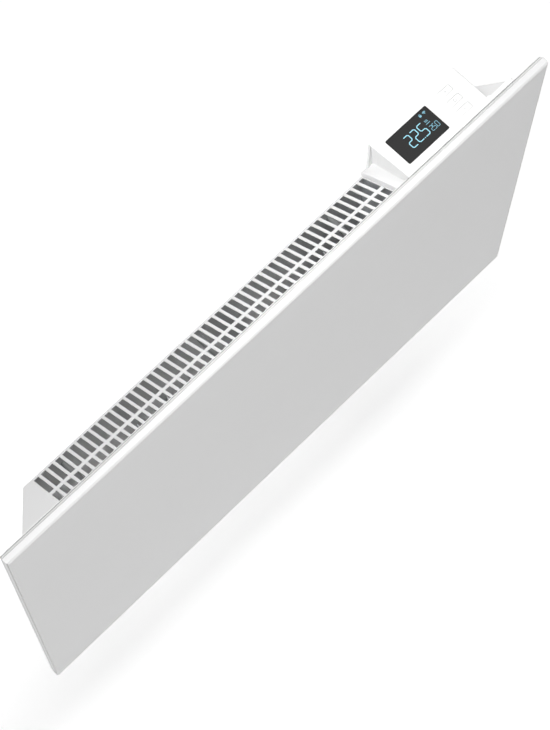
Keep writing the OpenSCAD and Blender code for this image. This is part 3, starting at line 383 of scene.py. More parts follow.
# the large figures, and the fainter small ones
grained("lit_figures", "#0E2A33", 0.4, 0.6, 0.002, 0.02, IOR=1.49,
        Emission_Color=linear("#A8E6F8"), Emission_Strength=1.0)
grained("lit_small_figures", "#0E2A33", 0.4, 0.6, 0.002, 0.02, IOR=1.49,
        Emission_Color=linear("#93CFE4"), Emission_Strength=0.9)
print("finishes in all:", len(finishes))

# %% [markdown]
# ## Give the solids their finishes
# The record puts every solid in a material slot. Painting by slot keeps like pieces alike, so one table does
# for all the solids. Two of them then get a finish of their own: the casing, whose coat is made a little
# whiter than the panel's as painted light on the grille and in the slots, and the posts of the heat shield,
# which are phosphated and darkened further as painted shade, so that they match the shade in the slots.

# %% Paint every solid by its slot
slot_finish = {
    "white_paint": "powder_coated_steel", "zinc_sheet": "galvanised_sheet",
    "bracket_steel": "grey_powder_coat", "screw_steel": "zinc_plate", "fin_aluminium": "extruded_aluminium",
    "tube_steel": "drawn_stainless", "ceramic": "steatite_ceramic", "black_plastic": "black_phenolic",
    "dark_rubber": "moulded_rubber", "board_green": "solder_mask", "brass": "turned_brass",
    "white_plastic": "textured_abs", "button_white": "smooth_abs", "ivory_plastic": "natural_nylon",
    "window_black": "smoked_acrylic", "module_grey": "display_frame", "plunger_red": "red_nylon",
    "brown_wire": "brown_pvc", "blue_wire": "blue_pvc", "green_wire": "striped_pvc",
    "red_wire": "red_silicone", "grey_wire": "grey_pvc", "ribbon": "flat_cable",
}
for part in frame["record"]["subparts"]:
    mesh = frame["nodes"][part["node"]].data
    mesh.materials.clear()
    mesh.materials.append(finishes[slot_finish[part["material_slot"]]])
# the casing gets a whiter copy of the panel's paint: painted light
frame["nodes"]["rear_casing"].data.materials[0] = finishes["casing_coat_painted_light"]
# the posts' dark grey is phosphate and painted shade, so that they don't stand out in the shaded slots
frame["nodes"]["shield_posts"].data.materials[0] = finishes["phosphate_and_painted_shade"]

# %% [markdown]
# ## Tools for shaping
# The pieces that show are drawn again as closed solids. Most of them are a row of outlines with a skin
# between them, the way a hull is planked, so one function does that with points in millimetres. A boolean
# then cuts holes or joins bosses, and its result is kept as plain mesh. Wide flat faces next to small round
# edges shade wrongly in a smooth mesh, which weighted normals put right.

# %% Skin, carve and dress
sharp_from = math.radians(32)


def solid(name, *skins, loop=False):
    """Closed solids from rows of rings, whose points are in mm; a loop joins its last row to its first."""
    shape = bmesh.new()
    for rings in skins:
        rows = [[shape.verts.new(Vector(point) * MM) for point in ring] for ring in rings]
        for low_row, high_row in zip(rows, rows[1:] + rows[:1] if loop else rows[1:]):
            for i in range(len(low_row)):
                shape.faces.new((low_row[i - 1], low_row[i], high_row[i], high_row[i - 1]))
        if not loop:
            shape.faces.new(rows[0])
            shape.faces.new(rows[-1])
    bmesh.ops.recalc_face_normals(shape, faces=shape.faces)
    mesh = bpy.data.meshes.new(name)
    shape.to_mesh(mesh)
    shape.free()
    return link(name, mesh)


def settle(piece):
    """Turns a piece's modifiers into plain mesh."""
    mesh = bpy.data.meshes.new_from_object(piece.evaluated_get(bpy.context.evaluated_depsgraph_get()))
    piece.modifiers.clear()
    piece.data = mesh


def carve(piece, tool, operation="DIFFERENCE"):
    """Cuts a solid out of a piece, or joins it on, and drops the solid."""
    step = piece.modifiers.new("carve", "BOOLEAN")
    step.operation = operation
    step.solver = "EXACT"
    step.object = tool
    settle(piece)
    bpy.data.objects.remove(tool)


def dress(piece, finish, slot, body, *nodes):
    """Shades a piece, gives it its finish and says what it rides on and stands for."""
    piece.data.materials.clear()
    piece.data.materials.append(finishes[finish])
    piece.data.shade_smooth()
    piece.data.set_sharp_from_angle(angle=sharp_from)
    even = piece.modifiers.new("even", "WEIGHTED_NORMAL")
    even.keep_sharp = True
    settle(piece)
    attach(piece, body)
    if nodes:
        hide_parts(*nodes)
    print(piece.name, "has", len(piece.data.polygons), "faces")


# %% [markdown]
# ## Outlines
# Moulded and folded pieces have few shapes in their outlines: an arc, a circle and a rectangle with round
# corners. These helpers give their points, set them at a height and stand a prism on them, and one reads
# the corners of a solid, so that they can be laid by it.

# %% Outline helpers
def arc(a, b, radius, start, stop, steps=6):
    """Points of an arc round a centre, between two angles in degrees."""
    angles = [math.radians(start + (stop - start) * i / steps) for i in range(steps + 1)]
    return [(a + radius * math.cos(angle), b + radius * math.sin(angle)) for angle in angles]


def circle(a, b, radius):
    """The 24 points of a whole circle."""
    return arc(a, b, radius, 0, 345, 23)


def rounded(a0, b0, a1, b1, radius, steps=5):
    """Points of a rectangle with round corners."""
    corners = ((a1, b1, 0), (a0, b1, 90), (a0, b0, 180), (a1, b0, 270))
    points = []
    for a, b, start in corners:
        centre_a = a - math.copysign(radius, a - (a0 + a1) / 2)
        centre_b = b - math.copysign(radius, b - (b0 + b1) / 2)
        points += arc(centre_a, centre_b, radius, start, start + 90, steps)
    return points


def plan_of(low_corner, high_corner, inset, radius):
    """Plan of a box with round corners, taken in by an inset."""
    return rounded(low_corner.x + inset, low_corner.y + inset, high_corner.x - inset, high_corner.y - inset,
                   radius)


def level(plan, z):
    """A plan's points at a height."""
    return [(x, y, z) for x, y in plan]


def prism(name, plan, low_z, high_z):
    """A solid that stands on a plan, between two heights."""
    return solid(name, [level(plan, z) for z in (low_z, high_z)])


def low_high(node):
    """The two corners of a solid, in mm."""
    low_corner, high_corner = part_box(node)
    return low_corner / MM, high_corner / MM


print("circles have", len(circle(0, 0, 1)), "points")

# %% [markdown]
# ## Front panel
# The real panel is one steel sheet, 1.2 mm thick, with its four edges folded back and then inwards into a
# narrow lip. A cube with a bevel would give all edges the same roundness, but the photograph shows a narrow
# flat bevel at the front, another one behind, and after it a fine step where the fold turns into the lip.
# So the sheet's section is walked from the middle of the front, over the fold to the lip and back inside,
# and each of its points becomes a rectangle.

# %% Fold the front panel
panel_a, panel_b = low_high("front_panel")
sheet_t = 1.2
lip_reach = 14.0
bevel_soft = 0.18


def soften_path(path, radius):
    """Replaces each inner point of a bent line by two points, so that its edges catch a little light."""
    made = [Vector(path[0])]
    for before, here, after in zip(path, path[1:], path[2:]):
        here = Vector(here)
        for other in (before, after):
            arm = Vector(other) - here
            made.append(here + arm.normalized() * min(radius, arm.length / 2))
    return made + [Vector(path[-1])]


# depth behind the face, inset at the top and bottom, and inset at the sides, where the step is smaller
outer = [(0, 2.4, 2.4), (0, 1.4, 1.4), (1.4, 0, 0), (6.3, 0, 0), (8.1, 2.6, 0.3), (8.7, 2.62, 0.4),
         (10.1, 5.2, 1.0), (10.1, 6.5, 2.3), (10.1, lip_reach, lip_reach)]
inner = [(sheet_t, 2.4, 2.4), (sheet_t, 2, 2), (2, sheet_t, sheet_t), (5.7, sheet_t, sheet_t),
         (8.9, 5.9, 2.6), (8.9, lip_reach, lip_reach)]
section = soften_path(outer, bevel_soft) + soften_path(inner, bevel_soft)[::-1]


def panel_ring(depth, inset, side_inset):
    """A rectangle of the panel at a depth behind its face, taken in from its rim."""
    x0, x1 = panel_a.x + side_inset, panel_b.x - side_inset
    z0, z1 = panel_a.z + inset, panel_b.z - inset
    y = panel_a.y + depth
    return [(x0, y, z0), (x1, y, z0), (x1, y, z1), (x0, y, z1)]


panel = solid("panel_sheet", [panel_ring(*point) for point in section])
print("the sheet's section has", len(section), "points")

# %% [markdown]
# At the two lower corners the folds of the side and of the bottom stop short of each other, which leaves a
# small slot in the side face. Without such a relief the sheet would tear when it is folded. Down each side
# runs a fine seam between the front and the fold, which the photograph shows as a thin line. Both are cut
# with a bar that sticks out past the sheet, because faces that only touch spoil a boolean.

# %% Cut the corner reliefs and the side seams
relief_low, relief_high = panel_a.z + 3.5, panel_a.z + 7
relief_y, relief_r = 2, 0.4
seam_y0, seam_y1, seam_d = 0.8, 1.5, 1.0
past = 1


def reach_from(x, depth):
    """The two ends of a cut that goes into one side of the panel."""
    return sorted((x - math.copysign(past, -x), x + math.copysign(depth, -x)))


for x in (panel_a.x, panel_b.x):
    x0, x1 = reach_from(x, lip_reach)
    outline = rounded(x0, panel_a.y + relief_y, x1, panel_b.y + past, relief_r, 3)
    carve(panel, prism("relief", outline, relief_low, relief_high))
for x in (panel_a.x, panel_b.x):
    x0, x1 = reach_from(x, seam_d)
    y0, y1 = panel_a.y + seam_y0, panel_a.y + seam_y1
    bar = [(x0, y0), (x1, y0), (x1, y1), (x0, y1)]
    carve(panel, prism("seam", bar, panel_a.z - past, panel_b.z + past))
dress(panel, "powder_coated_steel", "white_paint", "heater", "front_panel")

# %% [markdown]
# A thin grey strip lies in the step all round, where the casing meets the panel: painted shade for the gap
# between them, which is the fine dark line at the ends of the slots. Its section closes on itself, so its
# last ring is joined to its first.

# %% Lay the painted shade of the gap
# depth behind the panel's face, inset at the top and bottom, and inset at the sides
gap_section = [(8.75, 2.75, 0.35), (9.0, 2.8, 0.35), (10.0, 4.1, 0.6), (10.05, 4.3, 0.65), (10.05, 5.4, 1.5),
        (9.6, 5.4, 1.5)]
# a grey strip whose colour paints the shade of the gap between fold and casing
shadow_gap = solid("shadow_gap_strip", [panel_ring(*point) for point in gap_section], loop=True)
dress(shadow_gap, "painted_shadow_gap", "dark_rubber", "heater")

# %% [markdown]
# ## Control housing
# The housing is one ABS moulding: a box whose sides lean in towards the grille, a low ledge round it that
# follows the grille's slope, an upright plate at the back and a thin strip behind the panel's edge. A cube
# with bevels can't give the ledge, which is hollowed in a scoop that runs out to nothing at the front. So
# the moulding is cut into slices from front to back, each slice is drawn as one outline, and a skin joins
# them.

# %% Measure the housing
housing_a, housing_b = low_high("control_housing")
front_y, rear_y, crown = housing_a.y, housing_b.y, housing_b.z
ledge_w, box_w = 5.5, 98
ledge_x0 = housing_a.x
box_x0 = ledge_x0 + ledge_w
box_x1 = box_x0 + box_w
# how far the walls lean, the grille drops and the casing's end runs out for each millimetre
lean = math.tan(math.radians(7))
slope = math.tan(math.radians(35.7))
splay = math.tan(math.radians(39.9))
ledge_rise, ledge_soft, ledge_sag = 8.3, 0.8, 0.7
scoop_rise, scoop_bend, scoop_steps = 3.0, 2.2, 8
edge_soft, rim_soft = 1.5, 0.5
plate_t = 2.2
front_taper = 1.7


def grille(y):
    """Height of the sloping grille at a depth."""
    return housing_a.z + (rear_y - y) * slope


def end(y):
    """Reach of the casing's splayed end at a depth."""
    return housing_b.x - (y - front_y) * splay


def drop(y):
    """How far the top edge comes down where it rounds off at the front and the back."""
    near = min(y - front_y, rear_y - y, rim_soft)
    return rim_soft - math.sqrt(rim_soft ** 2 - (rim_soft - near) ** 2)


print("the box runs from", round(box_x0, 1), "to", round(box_x1, 1), "mm")

# %% [markdown]
# A slice starts at the foot of the left ledge. It climbs the scoop to the box's leaning wall, goes over the
# top and comes down to the ledge at the right, which sags a little. The last few slices belong to the
# upright plate at the back, which doesn't lean.

# %% Slice the housing
def slice_at(y, leaning):
    """One outline of the housing, from the foot of the left ledge over the top to the foot of the right."""
    foot, ledge, top = grille(y), grille(y) + ledge_rise, crown - drop(y)
    share = (y - front_y) / (rear_y - front_y)
    rise = scoop_rise * share
    left = box_x0 + front_taper * (1 - share)
    crease = left + (crown - ledge - rise) * lean
    points = [(ledge_x0, foot)] + arc(ledge_x0 + ledge_soft, ledge - ledge_soft, ledge_soft, 180, 90, 4)
    start = ledge_x0 + ledge_soft
    wall = crease if leaning else box_x0
    for i in range(1, scoop_steps + 1):
        x = start + (wall - start) * i / scoop_steps
        points.append((x, ledge + rise * ((x - start) / (crease - start)) ** scoop_bend))
    points += arc(left + edge_soft, top - edge_soft, edge_soft, 180, 90)
    points += arc(box_x1 - edge_soft, top - edge_soft, edge_soft, 90, 0)
    wall = box_x1 - ((crown - ledge) * lean if leaning else 0)
    stop = end(y) - ledge_soft
    for i in range(scoop_steps + 1):
        points.append((wall + (stop - wall) * i / scoop_steps,
                       ledge - ledge_sag * math.sin(math.pi * i / scoop_steps)))
    points += arc(stop, ledge - ledge_soft, ledge_soft, 90, 0, 4)[1:] + [(end(y), foot)]
    return [(x, y, z) for x, z in points]


rim = [0, 0.06, 0.15, 0.3, rim_soft]
bays = 12
plate_y = rear_y - plate_t
stations = [front_y + d for d in rim]
stations += [front_y + (plate_y - front_y) * i / bays for i in range(1, bays + 1)]
slices = [slice_at(y, True) for y in stations]
slices += [slice_at(y, False) for y in [plate_y] + [rear_y - d for d in reversed(rim)]]
housing = solid("housing_shell", slices)
print(len(slices), "slices of", len(slices[0]), "points")

# %% [markdown]
# Above the casing's flange the housing reaches forward over the step of the panel's fold, so that only a
# hairline shows between them from above. This front lip is a flat bar with a nose and soft upper edges, as
# wide as the box.

# %% Add the front lip
lip_y = front_y - 2.0
lip_z = crown - 5.2
nose_z = crown - 2.3


def lip_ring(x, inset, back=3.0):
    """Section of the front lip at one place along it."""
    outline = [(front_y + back, lip_z), (lip_y + 1.1, lip_z), (lip_y + 1.1, nose_z), (lip_y, nose_z)]
    # the soft upper edge: distance behind the nose, and drop below the top
    outline += [(lip_y + behind, crown - below - inset) for behind, below in ((0, 0.45), (0.1, 0.18),
                                                                              (0.3, 0.03), (0.5, 0))]
    outline.append((front_y + back, crown - inset))
    return [(x, y, z) for y, z in outline]


# place along the lip and drop of its top: the left end rounds off, the right end runs into the strip
lip_x0, lip_x1 = box_x0 + front_taper, box_x1
lip_rows = [(lip_x0 + 0.3, 0.9), (lip_x0 + 0.7, 0.35), (lip_x0 + 1.5, 0.005), (lip_x1 - 0.5, 0.005),
            (lip_x1 + 2, 0.005)]
carve(housing, solid("front_lip", [lip_ring(*row) for row in lip_rows]), "UNION")
print("lip", round(lip_x1 - lip_x0, 1), "mm long")

# %% [markdown]
# The strip behind the panel's edge reaches further right than the box and ends on a slant. It stands on the
# ledge, so its foot is sunk in it before the two are joined.

# %% Join the strip
strip_t = 2.2
# from its root inside the box, along the front to the slanted end, and back
strip_plan = [(box_x1 - 4, front_y + 0.02), (box_x1 + 27, front_y + 0.02), (box_x1 + 27.2, front_y + 0.35),
              (box_x1 + 21, front_y + strip_t - 0.2), (box_x1 + 20, front_y + strip_t),
              (box_x1 - 4, front_y + strip_t)]
mid = front_y + strip_t / 2


def plan_ring(z, inset):
    """The strip's outline at a height, a little thinner near the top."""
    return [(x, y + math.copysign(inset, mid - y), z) for x, y in strip_plan]


carve(housing, solid("strip", [plan_ring(grille(front_y) + 2, 0), plan_ring(crown - 0.5, 0),
                               plan_ring(crown - 0.2, 0.08), plan_ring(crown - 0.01, 0.35)]), "UNION")
carve(housing, solid("strip_lip", [lip_ring(box_x1 + 1, 0.02, 1.5), lip_ring(box_x1 + 25, 0.02, 1.5),
                                   lip_ring(box_x1 + 26.6, 0.4, 1.1)]), "UNION")
print("strip", strip_t, "mm thick")

# %% [markdown]
# The moulding is hollow, with walls of 2.2 mm and a top of 2.4 mm. The hollow is a plainer row of slices,
# open towards the grille. Bosses for the screws stand inside: two that hold the housing on the casing, four
# for the control board.

# %% Hollow the housing
wall_t = 2.2
top_t = 2.4
open_by = 5
splay_wall_t = wall_t * 1.3


def hollow_at(y):
    """One outline of the hollow, whose wall is thicker where the end is splayed."""
    low_z, ledge, top = grille(y) - open_by, grille(y) + ledge_rise - wall_t, crown - top_t
    lean_in = (crown - ledge) * lean
    x0, x1, x2, x3 = ledge_x0 + wall_t, box_x0 + front_taper + wall_t, box_x1 - wall_t, end(y) - splay_wall_t
    points = [(x0, low_z), (x0, ledge), (x1 + lean_in, ledge), (x1, top), (x2, top), (x2 - lean_in, ledge),
              (x3, ledge), (x3, low_z)]
    return [(x, y, z) for x, z in points]


carve(housing, solid("hollow", [hollow_at(y) for y in (front_y + wall_t, plate_y)]))
print("housing hollowed to", wall_t, "mm")

# %% Raise the bosses
screws_a, screws_b = low_high("housing_screws")
boards_a, boards_b = low_high("control_board")
screw_r, post_r, sunk = 2.8, 2.7, 1
tilt = math.atan(slope)
boss_y = (front_y + rear_y) / 2
# distance from the grille and radius: each boss stands square on the slope and has a chamfered end
boss_rows = ((0.05, 3.5), (11.6, 3.5), (12.2, 3.0))
for x in (screws_a.x + screw_r, screws_b.x - screw_r):
    rings = [[(x + a, boss_y + b * math.cos(tilt) + along * math.sin(tilt),
               grille(boss_y) - b * math.sin(tilt) + along * math.cos(tilt))
              for a, b in circle(0, 0, radius)] for along, radius in boss_rows]
    carve(housing, solid("boss", rings), "UNION")
for x in (boards_a.x + post_r, boards_b.x - post_r):
    for y in (boards_a.y + post_r, boards_b.y - post_r):
        carve(housing, prism("post", circle(x, y, post_r), boards_b.z, crown - sunk), "UNION")
print("two bosses and four posts inside")

# %% [markdown]
# The window lies in a shallow recess with round corners, and below it a smaller opening lets the display
# shine through. Each button has a hole that follows its cap with a fine even gap, which is the light grey
# line that the photograph shows round each of them.

# %% Open the window and the button holes
window_a, window_b = low_high("display_window")
window_r = 1.2
gap = 0.16
cut_low, cut_high = crown - 4, crown + 1
carve(housing, prism("recess", plan_of(window_a, window_b, -gap, window_r + gap), window_a.z, cut_high))
view_inset = 2.5
carve(housing, prism("opening", plan_of(window_a, window_b, view_inset, window_r), cut_low, crown - 1))
flange, cap_r = 0.9, 1.0
for node in ("button_back", "button_middle", "button_front"):
    cap_a, cap_b = low_high(node)
    carve(housing, prism("hole", plan_of(cap_a, cap_b, flange - gap, cap_r + gap), cut_low, cut_high))
dress(housing, "textured_abs", "white_plastic", "heater", "control_housing")

# %% [markdown]
# ## Display
# The window is a flat plate of smoked acrylic, with round corners and a polished edge that is broken by a
# tenth of a millimetre. It sits that much below the housing's top, as a fitted window does.

# %% Set the window
glass_z = crown - 0.1
glass_edge = 0.12
rows = ((window_a.z, 0.0), (glass_z - glass_edge, 0.0), (glass_z, glass_edge))
glass = solid("display_glass", [level(plan_of(window_a, window_b, inset, window_r - inset), z)
                                for z, inset in rows])
dress(glass, "smoked_acrylic", "window_black", "heater", "display_window")

# %% [markdown]
# ## Lit figures
# The figures are segments that light up behind the acrylic. A text object would need a typeface, while
# these are only strokes of one width with clipped corners, so each figure is a bent line that is drawn out
# to a flat strip. A real display's strips lie under the window and here they lie on it, as thin as a coat
# of paint, so that they show through nothing and stay sharp.

# %% Draw strokes
figure_low, figure_high = glass_z - 0.02, glass_z + 0.05


def stroke(points, width):
    """Rings of a flat strip along a bent line, with mitred corners."""
    rings = []
    for i, (x, y) in enumerate(points):
        before = Vector(points[i]) - Vector(points[i - 1]) if i else Vector(points[1]) - Vector(points[0])
        after = Vector(points[i + 1]) - Vector(points[i]) if i + 1 < len(points) else before
        along = (before.normalized() + after.normalized()).normalized()
        side = Vector((-along.y, along.x)) * (width / 2 / max(0.5, along.dot(after.normalized())))
        rings.append([(x - side.x, y - side.y, figure_low), (x + side.x, y + side.y, figure_low),
                      (x + side.x, y + side.y, figure_high), (x - side.x, y - side.y, figure_high)])
    return rings


def two(x0, y0, x1, y1, clip):
    """A figure 2 with clipped corners, from its upper left to its lower right."""
    mid_y = (y0 + y1) / 2
    return [(x0, y1), (x1 - clip, y1), (x1, y1 - clip), (x1, mid_y + clip), (x1 - clip, mid_y),
            (x0 + clip, mid_y), (x0, mid_y - clip), (x0, y0 + clip), (x0 + clip, y0), (x1, y0)]


def five(x0, y0, x1, y1, clip):
    """A figure 5: a 2 that is seen in a mirror."""
    return [(x0 + x1 - x, y) for x, y in two(x0, y0, x1, y1, clip)]


def nought(x0, y0, x1, y1, clip):
    """A figure 0 as one loop that closes in the middle of its left side."""
    mid_y = (y0 + y1) / 2
    return [(x0, mid_y), (x0, y1 - clip), (x0 + clip, y1), (x1 - clip, y1), (x1, y1 - clip), (x1, y0 + clip),
            (x1 - clip, y0), (x0 + clip, y0), (x0, y0 + clip), (x0, mid_y)]


print("strokes are", round(figure_high - figure_low, 2), "mm thick")

# %% [markdown]
# The large figures give the temperature of the room and the small ones the temperature that is set. Three
# small signs stand above them: waves over a line for heating, a padlock for the lock, and a fan of arcs for
# the radio link.

# %% Draw the figures and signs
# places in mm from the window's front left corner
figure_x, figure_y = window_a.x, window_a.y
base, cap = figure_y + 7.65, figure_y + 19.45
bold, medium, fine = 0.82, 0.5, 0.4
clip, small_clip = 1.0, 0.5
large = [stroke(two(figure_x + 12.7, base, figure_x + 17.5, cap, clip), bold),
         stroke(two(figure_x + 19.9, base, figure_x + 24.7, cap, clip), bold),
         stroke([(figure_x + 25.55, base), (figure_x + 26.35, base)], bold),
         stroke(five(figure_x + 27.3, base, figure_x + 32.2, cap, clip), bold)]
dress(solid("display_figures", *large), "lit_figures", "module_grey", "heater")

small_base, small_cap = figure_y + 7.25, figure_y + 12.25
small = [stroke(two(figure_x + 34.9, small_base, figure_x + 37.0, small_cap, small_clip), fine),
         stroke(five(figure_x + 37.6, small_base, figure_x + 39.5, small_cap, small_clip), fine),
         stroke([(figure_x + 39.85, small_base), (figure_x + 40.15, small_base)], fine),
         stroke(nought(figure_x + 40.6, small_base, figure_x + 43.1, small_cap, small_clip), fine)]
wave_x, wave_y = figure_x + 36.85, figure_y + 16.5
for shift in (-1.05, 0, 1.05):
    small.append(stroke([(wave_x + shift + 0.25 * math.sin(i * math.pi / 3), wave_y + 0.34 * i)
                         for i in range(7)], fine))
small.append(stroke([(wave_x - 2.1, wave_y - 1.35), (wave_x + 2.1, wave_y - 1.35)], medium))
lock_x, lock_y = figure_x + 36.7, figure_y + 22.6
lock_w, shackle_r, shackle_w = 2.1, 0.7, 0.42
small.append(stroke([(lock_x, lock_y), (lock_x, lock_y + 1.7)], lock_w))
small.append(stroke(arc(lock_x, lock_y + 1.9, shackle_r, -20, 200, 8), shackle_w))
fan_x, fan_y = figure_x + 41.15, figure_y + 22.7
for radius in (0.75, 1.45, 2.15):
    small.append(stroke(arc(fan_x, fan_y, radius, 45, 135, 6), medium))
small.append(stroke([(fan_x, fan_y - 0.2), (fan_x, fan_y + 0.3)], medium))
dress(solid("display_signs", *small), "lit_small_figures", "module_grey", "heater")

# %% [markdown]
# ## Buttons
# Each button is a cap of smooth ABS with a soft rim, a flange under the housing's top that keeps it in, and
# a stem that presses the switch. The photograph shows a tiny grey mark on each, too small to read. Plain
# signs stand in for them, grooves filled with grey ink: a plus at the back, then a ring, then a minus. The
# cap is a row of rounded rectangles. It rides on its own body, so it goes down when the button is pressed.

# %% Mould the buttons
flange_h, flange_z = 1.0, crown - top_t - 0.2
stem_r, stem_join = 1.4, 0.5
cap_soft, cap_steps = 0.35, 5
groove_w, groove_d, groove_r = 0.45, 0.4, 0.2
sign_l, sign_r = 2, 1
ink_low, above = 0.05, 0.1
level_bar, upright_bar = (sign_l, groove_w), (groove_w, sign_l)
# bars of each sign, along x and along y; a sign without bars is a ring
signs = {"button_back": (level_bar, upright_bar), "button_middle": (), "button_front": (level_bar,)}
for node, grooves in signs.items():
    cap_a, cap_b = low_high(node)
    mid_x, mid_y = (cap_a.x + cap_b.x) / 2, (cap_a.y + cap_b.y) / 2
    # height, inset and corner radius: the flange, then the cap up to its soft rim
    levels = [(flange_z - flange_h, 0, cap_r), (flange_z, 0, cap_r), (flange_z, flange, cap_r)]
    levels += [(cap_b.z - cap_soft + cap_soft * math.sin(t), flange + cap_soft - cap_soft * math.cos(t),
                cap_r - cap_soft * (1 - math.cos(t)))
               for t in [math.pi / 2 * i / cap_steps for i in range(cap_steps + 1)]]
    button = solid(node + "_cap", [level(plan_of(cap_a, cap_b, inset, radius), z)
                                   for z, inset, radius in levels])
    carve(button, prism("stem", circle(mid_x, mid_y, stem_r), cap_a.z, flange_z - stem_join), "UNION")
    inks = []
    for long_x, long_y in grooves:
        half_x, half_y = long_x / 2, long_y / 2
        bar = rounded(mid_x - half_x, mid_y - half_y, mid_x + half_x, mid_y + half_y, groove_r)
        carve(button, prism("groove", bar, cap_b.z - groove_d, cap_b.z + above))
        # the second bar's ink lies a hair lower, so that the two don't share a face
        ink_z = -ink_low * (1 + len(inks) / 4)
        inks.append([level(bar, cap_b.z + z) for z in (-groove_d, ink_z)])
    if not grooves:
        rim_r = sign_r + groove_w
        section = ((sign_r, -groove_d), (rim_r, -groove_d), (rim_r, above), (sign_r, above))
        rings = [level(circle(mid_x, mid_y, radius), cap_b.z + z) for radius, z in section]
        carve(button, solid("ring_groove", rings, loop=True))
        inks.append([[(x, y, min(z, cap_b.z - ink_low)) for x, y, z in ring] for ring in rings])
    dress(solid(node + "_sign", *inks, loop=not grooves), "grey_ink", "module_grey", node)
    dress(button, "smooth_abs", "button_white", node, node)

# %% [markdown]
# ## Screws of the casing
# Self-tapping screws hold the casing's flange to the panel's lip all round. Each head is turned, with a low
# dome, and has a cross recess that is struck into it. One screw is modelled and then laid at the place of
# each solid screw, which is found by walking that solid's mesh island by island.

# %% Find the screws
weld = 1e-6


def islands(node):
    """Boxes of a node's separate solids, in mm."""
    shape = bmesh.new()
    shape.from_mesh(frame["nodes"][node].data)
    bmesh.ops.remove_doubles(shape, verts=shape.verts, dist=weld)
    left, boxes = set(shape.verts), []
    while left:
        grown, reached = [left.pop()], []
        while grown:
            vert = grown.pop()
            reached.append(vert.co / MM)
            for edge in vert.link_edges:
                other = edge.other_vert(vert)
                if other in left:
                    left.remove(other)
                    grown.append(other)
        boxes.append([Vector([pick(point[axis] for point in reached) for axis in range(3)])
                      for pick in (min, max)])
    shape.free()
    # a set has no order, so the boxes are sorted, which makes every run alike
    return sorted(boxes, key=lambda box: tuple(box[0]))


screw_boxes = islands("casing_screws")
print(len(screw_boxes), "screws found")


# %% Turn one screw and lay it at each place
def cross(size, width):
    """Outline of a cross, for a driver's recess."""
    a, b = size / 2, width / 2
    return [(a, -b), (a, b), (b, b), (b, a), (-b, a), (-b, b),
            (-a, b), (-a, -b), (-b, -b), (-b, -a), (b, -a), (b, -b)]


first_low, first_high = screw_boxes[0]
head_r = (first_high.x - first_low.x) / 2
shank_r, shank_l, head_h = 1.5, 5.0, 0.85
# radius and height above the sheet, from the point up to the dome
profile = [(0.7, -shank_l), (shank_r, 0.8 - shank_l), (shank_r, 0), (head_r, 0), (head_r, 0.25),
           (head_r * 0.93, 0.5), (head_r * 0.75, 0.72), (head_r * 0.4, head_h)]
screw = solid("casing_screw_heads", [level(circle(0, 0, radius), z) for radius, z in profile])
# height, size and width of the recess, which narrows downwards
driver_rows = ((0.1, 1.6, 0.5), (head_h + 0.1, 3.2, 0.8))
carve(screw, solid("driver", [level(cross(size, width), z) for z, size, width in driver_rows]))
laid = bmesh.new()
for low_corner, high_corner in screw_boxes:
    copy = screw.data.copy()
    seat = Vector(((low_corner.x + high_corner.x) / 2, low_corner.y + shank_l,
                   (low_corner.z + high_corner.z) / 2))
    copy.transform(Matrix.Translation(seat * MM) @ Matrix.Rotation(-math.pi / 2, 4, "X"))
    laid.from_mesh(copy)
    bpy.data.meshes.remove(copy)
laid.to_mesh(screw.data)
laid.free()
dress(screw, "zinc_plate", "screw_steel", "heater", "casing_screws")

# %% [markdown]
# ## Cable gland
# The gland on the sloping bottom has a ribbed cap, so that fingers can tighten it, and a dome with the
# cable's hole. Its rings lie across its axis, which stands square on the slope, and the ribs are a ripple in
# the radius.

# %% Mould the gland
gland_a, gland_b = low_high("cable_gland")
gland_x = (gland_a.x + gland_b.x) / 2
gland_y = rear_y - 23
# the casing's bottom slopes as its grille does, turned over
gland_z = -grille(gland_y)
out_y, out_z = math.sin(tilt), -math.cos(tilt)
ribs, rib_points = 20, 6
bore_r = 3.75


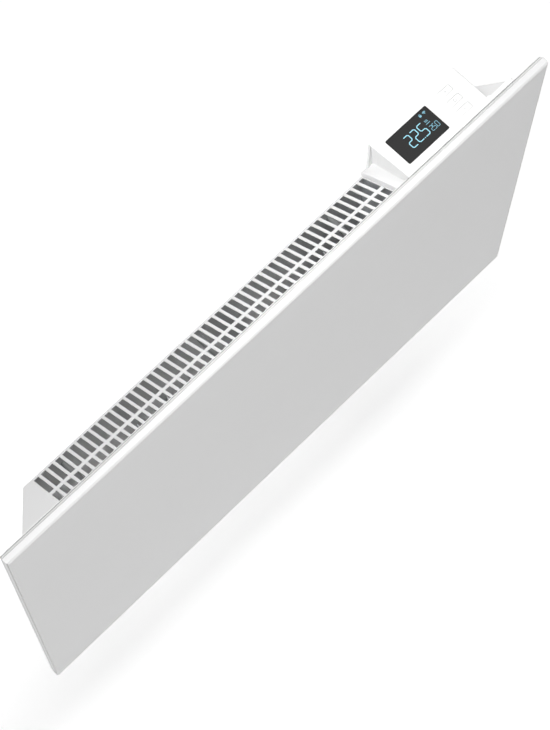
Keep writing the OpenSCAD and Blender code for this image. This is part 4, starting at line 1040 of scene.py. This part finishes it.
def gland_ring(radius, along, ripple=0.0):
    """A ring across the gland's axis; a ripple cuts grip ribs."""
    points = []
    for i in range(ribs * rib_points):
        turn_by = 2 * math.pi * i / (ribs * rib_points)
        reach_by = radius - ripple * (0.5 + 0.5 * math.cos(ribs * turn_by))
        a, b = reach_by * math.cos(turn_by), reach_by * math.sin(turn_by)
        points.append((gland_x + a, gland_y + out_y * along - out_z * b,
                       gland_z + out_z * along + out_y * b))
    return points


# radius, distance from the sheet and ripple: thread, collar, ribbed cap, dome
gland_rows = [(6, -10), (6, 0), (9.7, 0), (10, 0.3), (10, 1.7), (9.9, 1.9), (9.9, 2.1, 0.6), (9.9, 8.4, 0.6),
              (9.6, 9.0, 0.3), (9.0, 9.6), (8.2, 10.9), (7.2, 12.7), (6.4, 13.7), (5.6, 14.0)]
gland = solid("gland_body", [gland_ring(*row) for row in gland_rows])
carve(gland, solid("bore", [gland_ring(bore_r, -12), gland_ring(bore_r, 12.6), gland_ring(4.6, 14.5)]))
dress(gland, "textured_abs", "white_plastic", "heater", "cable_gland")

# %% [markdown]
# ## Bracket, clips and bumpers
# These have the right shape already, but their edges are as sharp as drawn, while a deburred sheet or a
# moulded piece has a small radius everywhere that catches the light. A copy of each solid's mesh is welded,
# its flat faces are joined again, and a bevel rounds every real edge.

# %% Soften the edges of solids that show
flat_to, edge_from = math.radians(1), math.radians(35)


def soften(node, width, finish, slot):
    """Copies a solid, rounds its edges by a width in mm, and lets the copy stand for it."""
    shape = bmesh.new()
    shape.from_mesh(frame["nodes"][node].data)
    bmesh.ops.remove_doubles(shape, verts=shape.verts, dist=weld)
    bmesh.ops.dissolve_limit(shape, angle_limit=flat_to, verts=shape.verts, edges=shape.edges)
    shape.verts.index_update()
    faces = [[vert.index for vert in face.verts] for face in shape.faces]
    mesh = bpy.data.meshes.new(node + "_soft")
    mesh.from_pydata([vert.co for vert in shape.verts], [], faces)
    shape.free()
    piece = link(node + "_soft", mesh)
    bevel = piece.modifiers.new("edges", "BEVEL")
    bevel.width = width * MM
    bevel.segments = 2
    bevel.limit_method = "ANGLE"
    bevel.angle_limit = edge_from
    settle(piece)
    dress(piece, finish, slot, "heater", node)


soften("wall_bracket", 0.5, "grey_powder_coat", "bracket_steel")
soften("lower_clips", 0.5, "natural_nylon", "ivory_plastic")
soften("rubber_bumpers", 0.8, "moulded_rubber", "dark_rubber")
